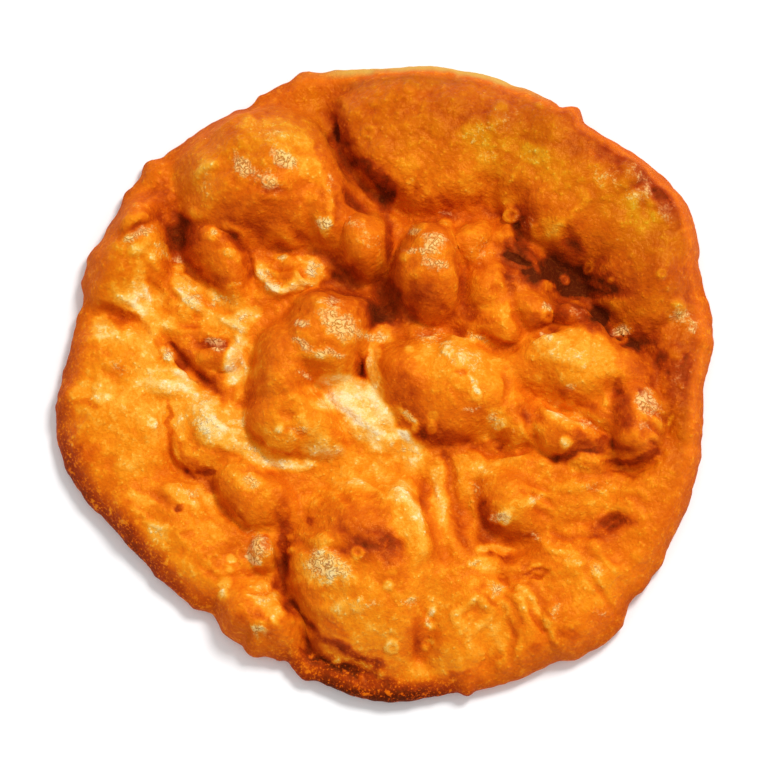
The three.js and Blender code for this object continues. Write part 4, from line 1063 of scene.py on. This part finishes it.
    (-20, -60, 4, 1.6, 0, 0.18, 0.8), (-15, -63.4, 8, 1.3, 2, 0.6, 0.85),
    (-22, -67, 5, 3.6, -50, 0.66, 0.85), (-15, -74, 7, 2.4, -48, 0.64, 0.85),
    (-9, -67, 7, 8, 0, 0.34, 0.8), (-2, -68, 4, 5, 0, 0.36, 0.8), (-8, -75, 5, 3, 0, 0.34, 0.7),
    (3, -70, 5, 8, 0, 0.4, 0.5), (2, -60, 3, 2, 0, 0.6, 0.6), (1.8, -59, 1.8, 1.2, -30, 0.32, 0.7),
    (1.8, -78.5, 2.8, 2.4, 0, 0.36, 0.8), (10, -77, 2.8, 4.4, 0, 0.7, 0.9),
    (13, -72, 1.6, 1.2, -30, 0.2, 0.9), (12.6, -74.6, 1.4, 0.8, 10, 0.3, 0.9),
    (13, -79.4, 1.3, 0.9, 0, 0.26, 0.9), (7, -66, 4, 1.6, -10, 0.34, 0.7),
    # south cleft, burnt flange and corner, dark partly as painted shadow
    (-30, -50, 1.7, 12, 0, 0.84, 0.95), (-30.6, -40, 2, 4, 0, 0.72, 0.8),
    (-31, -62, 2.6, 5, -10, 0.8, 0.9), (-27, -70, 3.6, 2.2, -50, 0.92, 0.95),
    (-22.6, -76, 5.4, 2, -52, 0.96, 1), (-13, -82, 8, 1.9, -26, 0.95, 1),
    (-4, -86.6, 5, 1.8, -24, 0.93, 0.95), (-25, -84, 6, 2.4, -20, 0.94, 0.95),
    (-15, -87, 9, 2.4, -20, 0.95, 0.95), (-4, -90.6, 8, 1.8, -8, 0.93, 0.9),
    (3, -93, 8, 1.4, 0, 0.95, 0.8), (-14, -83.6, 3.4, 1.1, -36, 0.46, 0.95),
    (-13.6, -86.2, 1.5, 0.9, 0, 0.26, 1), (-6.4, -87, 3, 1, 0, 0.4, 0.9),
    (-23, -87.6, 2.6, 0.8, 0, 0.3, 1), (-21.6, -84, 1, 0.8, 0, 0.4, 1),
    (1, -85, 2.2, 1.1, -10, 0.32, 0.9), (-36, -66, 6, 3.4, -40, 0.19, 0.9),
    (-33, -70, 4, 2, -30, 0.24, 0.8), (-40, -62, 4, 2, 0, 0.44, 0.6),
    (-48, -63, 2, 2.6, 0, 0.2, 0.8), (-38, -72.2, 5.4, 1.1, -6, 0.74, 0.95),
    (-33, -75, 1.6, 2, 20, 0.74, 0.9), (-44, -72, 3, 1.2, 30, 0.7, 0.8),
    (-39, -76, 5, 1.5, -18, 0.18, 0.95), (-37.6, -79.2, 3.4, 0.9, -4, 0.8, 0.9),
    (-26, -76, 3, 4, 40, 0.5, 0.7), (-28, -80, 4, 1.2, -20, 0.5, 0.8),
    (-36.5, -50.5, 4.4, 5, 0, 0.26, 0.85), (-35.4, -49.6, 1.7, 2.2, -20, 0.62, 0.8),
    (-39, -55, 3.2, 1.4, -30, 0.22, 0.9), (-41, -50, 2, 6, 0, 0.56, 0.6),
    (-38, -59, 5, 1.4, 0, 0.66, 0.7),
    # south-east apron, with painted shade beside the lower right lump
    (38, -30, 8, 6, 0, 0.46, 0.5), (29.6, -41, 2.4, 4.6, 6, 0.78, 0.95),
    (31.6, -46.6, 2.6, 3, 30, 0.88, 0.95), (38, -48, 5.4, 1.8, -4, 0.78, 0.9),
    (35, -42.6, 3, 2.4, 0, 0.44, 0.7), (44, -37, 4.4, 1.6, 20, 0.26, 0.8),
    (33, -52.3, 5.6, 1.7, -8, 0.2, 0.95), (26.6, -56.4, 2, 1.8, 0, 0.22, 0.9),
    (35, -58, 1.8, 3, 30, 0.62, 0.8), (30, -56, 3, 1.2, 0, 0.4, 0.6),
    (68, -43, 4, 2.1, -4, 0.88, 0.95), (63.4, -47.6, 1.6, 2.4, -20, 0.74, 0.85),
    (44, -59.4, 2.8, 0.6, 26, 0.84, 0.95), (44.6, -57.6, 2.6, 0.7, 20, 0.24, 0.9),
    (45.6, -67, 1.3, 7, 26, 0.6, 0.85), (48.6, -71.5, 0.6, 2.4, 24, 0.86, 0.9),
    (42, -68, 2.2, 5, 36, 0.24, 0.85), (56, -55, 4, 2.2, 0, 0.24, 0.85),
    (62.6, -58, 2, 2, 0, 0.26, 0.8), (33, -64, 3.2, 2.6, 0, 0.26, 0.85),
    (30, -66.6, 4, 1, -40, 0.56, 0.7), (25, -70, 1, 4, -20, 0.26, 0.7),
    (30, -77, 9, 5, 0, 0.3, 0.8), (24, -72, 3, 3, 0, 0.32, 0.6), (39, -75, 2, 5, 20, 0.54, 0.8),
    (52, -72, 4, 6, 30, 0.52, 0.6), (62, -66, 6, 5, 0, 0.36, 0.6), (60, -62, 5, 3, 0, 0.3, 0.5),
    (65, -73, 5, 3, -20, 0.58, 0.8), (65, -78, 5, 1.6, 20, 0.76, 0.8),
    (46, -81.6, 4.4, 1.6, 16, 0.76, 0.9), (55, -78.6, 3, 1.6, -30, 0.7, 0.8),
    (50, -52, 4, 2, -40, 0.32, 0.6), (44, -52, 4, 2, 0, 0.56, 0.5), (24, -90, 8, 1.4, 0, 0.84, 0.7),
    (23, -91.6, 3, 0.9, -10, 0.94, 0.9), (62, -35, 6, 2, 0, 0.38, 0.6),
    (80, -33, 6, 7, 0, 0.44, 0.5),
]]
print(len(TONES), "tones")

# %% [markdown]
# ### Washes
#
# How brown a place looks also depends on the lamp. The last coat is a few wide thin washes:
# they add a little where the lamp makes a slope too bright, and take a little away where a
# bubble's shadow already darkens it.

# %% Washes
WASHES = [Patch(*row) for row in [
    (66, 70, 30, 6, -42, 0.18), (42, 30, 8, 6, 0, 0.16), (48, 43, 6, 5, 0, -0.24),
    (-4, 19, 9, 6, 0, 0.14), (57, 18, 9, 5, -20, 0.24), (73, 0, 7, 10, 0, 0.18),
    (-20, -68, 9, 7, 0, -0.1), (-18, -79, 14, 8, 0, -0.08), (36, -19, 16, 6, 0, -0.1),
    (12, -68, 6, 12, 0, -0.08), (-63, -18, 8, 6, 0, -0.1), (-48, -38, 6, 8, 0, -0.1),
    (-6, -53, 9, 6, 0, 0.12), (36, -54, 6, 5, 0, 0.1), (60, -54, 6, 5, 0, 0.1),
    (62, -29, 8, 5, 0, 0.18), (72, -18, 6, 6, 0, 0.12), (60, -17, 6, 5, 0, 0.18),
    (-73, 46, 6, 8, 0, 0.16), (-50, 42, 6, 5, 0, 0.1), (89, 4, 7, 18, 0, 0.1),
    (-62, 30, 6, 5, 0, 0.08), (16, -26, 12, 5, 0, -0.07), (2, -89, 20, 5, 0, -0.16),
    (72, 19, 7, 5, 0, -0.12), (36, -43, 6, 5, 0, -0.12), (-18, 89, 10, 5, 0, 0.1),
    (36, 90, 8, 4, 0, 0.12), (85, 54, 6, 8, 0, 0.12), (96, 18, 5, 8, 0, 0.1),
]]
print(len(WASHES), "washes")

# %% Adding the coats up
FRIED = 0.50
PATCH_RAGGED = 2.2
PATCH_SPREAD = 1.45


def turned_patches(patches, x, y):
    """Sum of soft patches with ragged outlines."""
    shift_x = PATCH_RAGGED * (uneven(x, y, 6, 61) + 0.6 * uneven(x, y, 2.5, 62))
    shift_y = PATCH_RAGGED * (uneven(x, y, 6, 63) + 0.6 * uneven(x, y, 2.5, 64))
    total = np.zeros(x.shape)
    for patch in patches:
        along, across = turned(x + shift_x - patch.x, y + shift_y - patch.y, patch.turn)
        out = np.hypot(along / patch.length, across / patch.width)
        total += patch.change * hump(out / PATCH_SPREAD)
    return total


TONE_COVER = 0.92
TONE_END = 1.3
TONE_BORDER = 0.6
DARK_FROM = 0.6
DARK_KEPT = 0.62


def with_tones(number, x, y):
    """The number with each tone laid over the ones before it."""
    for tone in TONES:
        along, across = turned(x - tone.x, y - tone.y, tone.turn)
        out = np.hypot(along / tone.length, across / tone.width)
        cover = TONE_COVER * tone.share * eased(np.clip((TONE_END - out) / TONE_BORDER, 0, 1))
        goal = tone.tone - (1 - DARK_KEPT) * max(tone.tone - DARK_FROM, 0)
        number = number + cover * (goal - number)
    return number


HOLLOW_SURROUND = 6
HOLLOW_DEPTH = 3.2
HOLLOW_BROWN_AND_SHADE = 0.08
CROWN_PALE_AND_LIGHT = 0.03
RAISED_PALE_AND_LIGHT = 0.15
PEARL_PALE_AND_HIGHLIGHT = 0.13

on_upper = (level == 1).astype(float)
shaken_x = 0.9 * uneven(x, y, 3, 71) + 0.4 * uneven(x, y, 1.2, 73)
shaken_y = 0.9 * uneven(x, y, 3, 72) + 0.4 * uneven(x, y, 1.2, 74)
hollow_board = blurred(heights, HOLLOW_SURROUND) - heights
hollow = np.clip(read_board(hollow_board, x, y) / HOLLOW_DEPTH, -1, 1) * on_upper
fried = FRIED + turned_patches(PATCHES, x, y) * on_upper
seen_x, seen_y = points[:, 0] + shaken_x, seen(points[:, 1], points[:, 2]) + shaken_y
fried = np.where(on_upper, with_tones(fried, seen_x, seen_y), fried)
fried += turned_patches(WASHES, x, y) * on_upper
# Painted shade and light: hollows are made darker and crowns paler, partly as oil and browning,
# partly standing in for shade in the hollows and light on the crowns.
fried += HOLLOW_BROWN_AND_SHADE * np.maximum(hollow, 0) - CROWN_PALE_AND_LIGHT * np.maximum(-hollow, 0)
# Painted light: raised skin and the named blisters are made paler, partly as drier skin, partly as
# painted highlight on them.
raised = read_board(skin - blurred(skin, 4), x, y)
raised_pale_and_light = RAISED_PALE_AND_LIGHT * np.clip(raised / 0.6, -1, 1)
fried -= (raised_pale_and_light + PEARL_PALE_AND_HIGHLIGHT * read_board(pearl_board, x, y)) * on_upper
print("fried from", fried.min().round(2), "to", fried.max().round(2))

# %% [markdown]
# ### The edge
#
# The rim touched the pan and the bottom of the oil, so it is browner all round, in a ragged
# band; in the south-west and the south the band is wider and darker, and the flange under the
# south lobe is dark too. There the darkening is partly crust browned where the dough is
# thinnest and partly painted shade on the side away from the light. In the north a sliver of
# the pale side shows under the crust. Each of these becomes a mask, a number for every point
# of the skin.

# %% The edge and the masks
UNDERSIDE_FRIED = 0.04
STEEP_PAINTED_SHADE = 0.03

direction = np.mod(np.degrees(np.arctan2(y, x)), 360)
from_edge = rim_radius(direction) - np.hypot(x, y)
edge_ragged = 1.2 * uneven(x, y, 4, 90) + 0.8 * uneven(x, y, 1.6, 91)


def facing(middle, half):
    """1 on the edge that faces a direction in degrees, fading out to both sides."""
    return hump(np.minimum(angle_between(direction, middle) / half, 1))


south_west, south, north = facing(206, 42), facing(268, 26), facing(82, 26)
edge_width = 4 + 4 * south_west + 3.5 * south
edge = np.clip(1 - (from_edge + edge_ragged) / edge_width, 0, 1)
# Painted shade in part: the edge is made browner, most in the south-west and south.
fried += edge * (0.06 + 0.16 * south_west + 0.26 * south)
# The flange under the south lobe: burnt crust and painted shadow from the lobe.
flange_burn_and_shadow = hump(np.hypot((x + 14) / 24, (y + 88) / 9)) * on_upper
rim_crust_and_shade = np.clip(np.minimum(1.6 * edge, 1) * (0.2 + 0.8 * south_west + south) + flange_burn_and_shadow, 0, 1)
fried = np.where(on_upper, fried, fried + UNDERSIDE_FRIED)
leaning = normals_of(points)[:, 2]
for _ in range(3):
    leaning = neighbour_mean(leaning)
steep_flank = np.clip((0.93 - leaning) / 0.4, 0, 1)
# Painted shade: steep flanks are made browner, standing in for the shade that falls on them.
fried += STEEP_PAINTED_SHADE * steep_flank * on_upper
lip = np.clip((1 - (from_edge + 0.6 * edge_ragged) / 3.4) * 2, 0, 1) * np.clip(2 * north, 0, 1)
masks = {
    "fried": np.clip(fried, 0, 1),
    "steep": steep_flank,
    "scaly": np.clip(scale_patches(seen_x, seen_y, 1.45), 0, 1.2) * on_upper,
    "browned": np.clip(turned_patches(BROWNED, x, y) * on_upper + 0.35 * edge, 0, 1),
    "rim": rim_crust_and_shade,
    "lip": lip,
}
for name, mask in masks.items():
    print(f"{name:7s} from {mask.min():.2f} to {mask.max():.2f}, mean {mask.mean():.2f}")

# %% [markdown]
# ## The bread as an object
#
# The points go into one mesh. Its object stays at the origin and its place is in its points,
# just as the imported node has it. Each mask becomes an attribute of the points.

# %% Making the langos
node_low, node_high = (np.array(corner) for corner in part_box("langos"))
dough_plan = np.stack(ring_plan(6 * TOP_RINGS, 1, 0), 1)
shift = (node_low[:2] + node_high[:2]) / 2 / MM - (dough_plan.min(0) + dough_plan.max(0)) / 2
points[:, :2] += shift

mesh = bpy.data.meshes.new("langos_crust")
mesh.from_pydata((points * MM).tolist(), [], triangles.tolist())
mesh.shade_smooth()
for name, mask in masks.items():
    attribute = mesh.attributes.new(name, "FLOAT", "POINT")
    attribute.data.foreach_set("value", mask.astype(np.float32))
mesh.update()
langos = bpy.data.objects.new("langos_crust", mesh)
bpy.context.scene.collection.objects.link(langos)
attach(langos, "root")
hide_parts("langos")
print("shifted by", shift.round(3), "mm, spans", (np.ptp(points, axis=0)).round(1), "mm")

# %% [markdown]
# ## Shader sums in plain Python
#
# A material is a graph of small nodes, and a graph of sums is hard to read. So one small class
# holds the output of a node and knows how to add, subtract, multiply and divide. Then a line
# such as `0.4 + 0.3 * grain` makes its Math nodes by itself. Colours are mixed by name.

# %% One class for sockets
class Value:
    """An output of a node that can be used in a sum."""

    def __init__(self, tree, socket):
        self.tree = tree
        self.socket = socket

    def node(self, kind, settings=None, inputs=None, output=0):
        """Adds a node: its settings first, then the values or links of its sockets."""
        made = self.tree.nodes.new(kind)
        for key, value in (settings or {}).items():
            if key == "stops":
                self.set_stops(made.color_ramp, value)
            else:
                setattr(made, key, value)
        for key, value in (inputs or {}).items():
            if isinstance(value, Value):
                self.tree.links.new(value.socket, made.inputs[key])
            else:
                made.inputs[key].default_value = value
        return Value(self.tree, made.outputs[output])

    @staticmethod
    def set_stops(ramp, stops):
        """Sets a colour ramp to pairs of place and colour."""
        while len(ramp.elements) < len(stops):
            ramp.elements.new(0.5)
        for element, (place, colour) in zip(ramp.elements, stops):
            element.position = place
            element.color = colour

    def sum(self, operation, first, second, clamp=False):
        """Adds one Math node."""
        settings = {"operation": operation, "use_clamp": clamp}
        return self.node("ShaderNodeMath", settings, {0: first, 1: second})

    def __add__(self, other):
        return self.sum("ADD", self, other)

    def __radd__(self, other):
        return self.sum("ADD", other, self)

    def __sub__(self, other):
        return self.sum("SUBTRACT", self, other)

    def __rsub__(self, other):
        return self.sum("SUBTRACT", other, self)

    def __mul__(self, other):
        return self.sum("MULTIPLY", self, other)

    def __rmul__(self, other):
        return self.sum("MULTIPLY", other, self)

    def __pow__(self, other):
        return self.sum("POWER", self, other)

    def size(self):
        """The value without its sign."""
        return self.node("ShaderNodeMath", {"operation": "ABSOLUTE"}, {0: self})

    def clipped(self):
        """The value kept between 0 and 1."""
        return self.sum("ADD", self, 0.0, clamp=True)

    def step(self, low, high):
        """0 below low, 1 above high, and smooth between them."""
        inputs = {"Value": self, "From Min": low, "From Max": high}
        return self.node("ShaderNodeMapRange", {"interpolation_type": "SMOOTHSTEP"}, inputs)


def mixed(under, over, amount):
    """One colour over another, by an amount between 0 and 1."""
    first = next(item for item in (under, over, amount) if isinstance(item, Value))
    inputs = {0: amount, 6: under, 7: over}
    return first.node("ShaderNodeMix", {"data_type": "RGBA", "clamp_factor": True}, inputs, 2)


def darkened(under, glaze, amount):
    """A colour seen through a glaze, by an amount between 0 and 1."""
    settings = {"data_type": "RGBA", "blend_type": "MULTIPLY", "clamp_factor": True}
    return under.node("ShaderNodeMix", settings, {0: amount, 6: under, 7: glaze}, 2)


# %% [markdown]
# ## The fried crust
#
# The crust is one Principled surface. Its colour is read off one scale, the order in which
# dough browns in hot oil, at the number that each place carries; that number holds painted
# light and shade as well. Noise of several sizes moves the number up and down, and less so
# where it is dark: the broadest as skin of uneven thickness does, the finer ones making raised
# skin paler and sunken skin darker, which is partly painted light and shade on the small bumps.
# Small pale specks are painted glints. Dry crowns have a scaly skin of pale flakes with brown
# cracks between them, and the pale of the flakes is partly painted highlight. A thin film of
# oil makes it all shine, unevenly, and scorched places are dry and dull.

# %% The order of browning
BRIGHTNESS = 1.04


def srgb(red, green, blue):
    """A colour as it should look in full light, 0 to 255, as the share of light it sends back."""
    def linear(level):
        level = level / 255
        return level / 12.92 if level <= 0.04045 else ((level + 0.055) / 1.055) ** 2.4
    return (*(linear(level) / BRIGHTNESS for level in (red, green, blue)), 1)


BROWNING = [
    (0.00, srgb(250, 228, 172)),
    (0.13, srgb(249, 204, 116)),
    (0.27, srgb(246, 168, 50)),
    (0.42, srgb(240, 138, 17)),
    (0.56, srgb(228, 111, 8)),
    (0.70, srgb(208, 86, 4)),
    (0.84, srgb(166, 50, 4)),
    (1.00, srgb(86, 20, 4)),
]
LIP = srgb(214, 160, 70)
FLAKE_AND_HIGHLIGHT = srgb(250, 212, 138)
CRACK = srgb(176, 92, 26)
BROWN_GLAZE = (0.7, 0.79, 0.24, 1)

material = bpy.data.materials.new("fried_crust")
material.use_nodes = True
tree = material.node_tree
tree.nodes.clear()
place = Value(tree, tree.nodes.new("ShaderNodeTexCoord").outputs["Object"])


def mask_value(name):
    """A mask of the mesh as a value."""
    return place.node("ShaderNodeAttribute", {"attribute_name": name}, output=2)


def grain(size, detail=2.0, roughness=0.5, distortion=0.0):
    """Cloudy noise about as coarse as the size in millimetres, around one half."""
    inputs = {"Vector": place, "Scale": 1 / (size * MM), "Detail": detail, "Roughness": roughness,
              "Distortion": distortion}
    return place.node("ShaderNodeTexNoise", None, inputs)


def cells(size):
    """Distance to the middle of the nearest cell of about the size in millimetres."""
    inputs = {"Vector": place, "Scale": 1 / (size * MM)}
    return place.node("ShaderNodeTexVoronoi", {"feature": "F1"}, inputs)


# %% Patterns of the skin
broad = grain(9, 3, 0.6)
skin_grain = grain(2.6, 3, 0.6)
fine = grain(0.8, 2, 0.6)
distance = cells(1.5)
pimples = 1 - distance ** 2
speck = distance.step(0.4, 0.1) * skin_grain.step(0.44, 0.56)
fleck = skin_grain.step(0.53, 0.64)
ruffle = (grain(2.2, 1) - 0.5).size()
maze = (grain(1.7, 1, 0.5, 0.4) - 0.5).size()
crack = maze.step(0.05, 0.01)
crumbs = (fine.step(0.56, 0.68) + skin_grain.step(0.58, 0.66)).clipped()
fried_and_painted_light_share, scaly, rim = mask_value("fried"), mask_value("scaly"), mask_value("rim")
flaking = (scaly + 1.3 * (skin_grain - 0.5) + 1.1 * (fine - 0.5)).step(0.3, 0.9)
flaking = flaking * fried_and_painted_light_share.step(0.86, 0.6)
print("the patterns take", len(tree.nodes), "nodes")

# %% Colour
LIFT = 0.08
CALM_END = 1.3
BROAD_SWING, GRAIN_SWING, FINE_SWING = 0.32, 0.2, 0.24
FLECK_PALE_AND_LIGHT, SPECK_PAINTED_GLINT, FLAKE_PALE_AND_HIGHLIGHT = 0.07, 0.13, 0.08
RIM_DARK, CRUMB_PALE = 0.1, 0.3
CRACK_SHARE, FLAKE_CRACK_SHARE = 0.1, 0.7
FLAKE_SHARE, FLAKE_MIDDLE = 0.34, 0.42

# The two finer swings make raised skin paler and sunken skin darker: partly the skin's own colour,
# partly painted light and shade on the small bumps.
swing = BROAD_SWING * (broad - 0.5) - GRAIN_SWING * (skin_grain - 0.5) - FINE_SWING * (fine - 0.5)
number = fried_and_painted_light_share + LIFT
# Pale flecks on raised grain are partly painted light, and the pale specks are painted glints.
number = number + (CALM_END - fried_and_painted_light_share) * (swing - FLECK_PALE_AND_LIGHT * fleck - SPECK_PAINTED_GLINT * speck)
# Paler flakes: partly dry scales, partly painted highlight.
number = number - FLAKE_PALE_AND_HIGHLIGHT * flaking
# Painted shade in part: the rim is made darker, most in the south-west and south.
number = number + rim * (RIM_DARK - CRUMB_PALE * crumbs)
colour = place.node("ShaderNodeValToRGB", {"stops": BROWNING}, {"Fac": number})
colour = darkened(colour, BROWN_GLAZE, mask_value("browned") * fried_and_painted_light_share.step(0.85, 0.55))
# The pale flake colour is partly painted highlight on the crowns.
colour = mixed(colour, FLAKE_AND_HIGHLIGHT, flaking * (FLAKE_SHARE + FLAKE_MIDDLE * maze.step(0.03, 0.15)))
colour = mixed(colour, CRACK, (CRACK_SHARE + FLAKE_CRACK_SHARE * flaking) * crack)
colour = mixed(colour, LIP, mask_value("lip"))
print("with the colour,", len(tree.nodes), "nodes")

# %% Shine, and relief too small for the mesh
OILY, BROAD_DULL, STEEP_DULL, FLAKE_DULL, SCORCHED_DULL = 0.28, 0.2, 0.5, 0.14, 0.4
GRAIN_RISE, FINE_RISE, PIMPLE_RISE, SPECK_RISE, RUFFLE_RISE = 0.42, 0.15, 0.24, 0.12, 0.12
SCALE_RISE, FLAKE_SCALE_RISE = 0.05, 0.25
BUMP_STRENGTH = 0.9
BUMP_DEPTH = 0.9 * MM
FILM_IOR = 1.4
FILM_SHINE = 0.45
FILM_TINT = (1, 0.5, 0.1, 1)

roughness = OILY + BROAD_DULL * broad + STEEP_DULL * mask_value("steep") + FLAKE_DULL * flaking
roughness = (roughness + SCORCHED_DULL * fried_and_painted_light_share.step(0.68, 0.9)).clipped()
relief = GRAIN_RISE * skin_grain + FINE_RISE * fine + PIMPLE_RISE * pimples
relief = relief + SPECK_RISE * speck + RUFFLE_RISE * ruffle
relief = relief + (SCALE_RISE + FLAKE_SCALE_RISE * flaking) * maze.step(0.0, 0.12)
bump_inputs = {"Strength": BUMP_STRENGTH, "Distance": BUMP_DEPTH, "Height": relief}
bump = place.node("ShaderNodeBump", None, bump_inputs)

surface = tree.nodes.new("ShaderNodeBsdfPrincipled")
output = tree.nodes.new("ShaderNodeOutputMaterial")
surface.inputs["IOR"].default_value = FILM_IOR
surface.inputs["Specular IOR Level"].default_value = FILM_SHINE
surface.inputs["Specular Tint"].default_value = FILM_TINT
tree.links.new(colour.socket, surface.inputs["Base Color"])
tree.links.new(roughness.socket, surface.inputs["Roughness"])
tree.links.new(bump.socket, surface.inputs["Normal"])
tree.links.new(surface.outputs[0], output.inputs["Surface"])
mesh.materials.append(material)
print("the crust has", len(tree.nodes), "nodes")

# %% [markdown]
# ## Floor, light and camera
#
# The bread lies on a plain pale floor, a hair's breadth below it so that the two faces don't
# flicker. A soft lamp stands behind it to the right, aslant, because the relief only shows
# when shadows fall beside the bubbles. A pale sky fills the shadows. The camera looks down,
# a little from the near side, through a long lens.

# %% The floor
FLOOR_HALF = 3.0
FLOOR_GAP = 0.2 * MM
FLOOR_GREY = 0.95
FLOOR_ROUGHNESS = 0.9

floor_mesh = bpy.data.meshes.new("floor")
corners = [(-1, -1), (1, -1), (1, 1), (-1, 1)]
floor_points = [(FLOOR_HALF * a, FLOOR_HALF * b, -FLOOR_GAP) for a, b in corners]
floor_mesh.from_pydata(floor_points, [], [(0, 1, 2, 3)])
floor = bpy.data.objects.new("floor", floor_mesh)
bpy.context.scene.collection.objects.link(floor)
floor_paint = bpy.data.materials.new("pale_floor")
floor_paint.use_nodes = True
floor_surface = floor_paint.node_tree.nodes["Principled BSDF"]
floor_surface.inputs["Base Color"].default_value = (FLOOR_GREY, FLOOR_GREY, FLOOR_GREY, 1)
floor_surface.inputs["Roughness"].default_value = FLOOR_ROUGHNESS
floor_mesh.materials.append(floor_paint)
print("a floor of", 2 * FLOOR_HALF, "m")

# %% The lamp and the sky
from mathutils import Vector

LAMP_AZIMUTH = 50
LAMP_ELEVATION = 58
LAMP_DISTANCE = 1.5
LAMP_SIZE = 0.4
LAMP_POWER = 14.6
SKY_STRENGTH = 0.7


def direction_to(azimuth, elevation):
    """Unit vector towards an azimuth from +X and an elevation, in degrees."""
    a, e = math.radians(azimuth), math.radians(elevation)
    return Vector((math.cos(a) * math.cos(e), math.sin(a) * math.cos(e), math.sin(e)))


lamp_data = bpy.data.lights.new("soft_lamp", "AREA")
lamp_data.shape = "DISK"
lamp_data.size = LAMP_SIZE
lamp_data.energy = LAMP_POWER
lamp = bpy.data.objects.new("soft_lamp", lamp_data)
lamp.location = LAMP_DISTANCE * direction_to(LAMP_AZIMUTH, LAMP_ELEVATION)
lamp.rotation_euler = (-lamp.location).to_track_quat("-Z", "Y").to_euler()
bpy.context.scene.collection.objects.link(lamp)

world = bpy.data.worlds.new("pale_sky")
world.use_nodes = True
world.node_tree.nodes["Background"].inputs["Color"].default_value = (1, 1, 1, 1)
world.node_tree.nodes["Background"].inputs["Strength"].default_value = SKY_STRENGTH
bpy.context.scene.world = world
print("a lamp of", LAMP_POWER, "W and a sky of", SKY_STRENGTH)
bpy.context.scene.view_settings.view_transform = "Standard"

# %% The camera
CAMERA_ELEVATION = 80
CAMERA_AZIMUTH = -90
LENS = 300
SENSOR = 36
PICTURE_SIDE = 768
BREAD_IN_PICTURE = 657
AIM_HEIGHT = 5 * MM
AIM_SOUTH = -0.8 * MM

frame_width = (node_high[0] - node_low[0]) * PICTURE_SIDE / BREAD_IN_PICTURE
camera_distance = float(frame_width * LENS / SENSOR)

camera_data = bpy.data.cameras.new("camera")
camera_data.lens = LENS
camera_data.sensor_width = SENSOR
camera = bpy.data.objects.new("camera", camera_data)
aim = Vector((0, AIM_SOUTH, AIM_HEIGHT))
camera.location = aim + camera_distance * direction_to(CAMERA_AZIMUTH, CAMERA_ELEVATION)
camera.rotation_euler = (aim - camera.location).to_track_quat("-Z", "Y").to_euler()
bpy.context.scene.collection.objects.link(camera)
bpy.context.scene.camera = camera
print("the camera stands", round(camera_distance, 3), "m away")
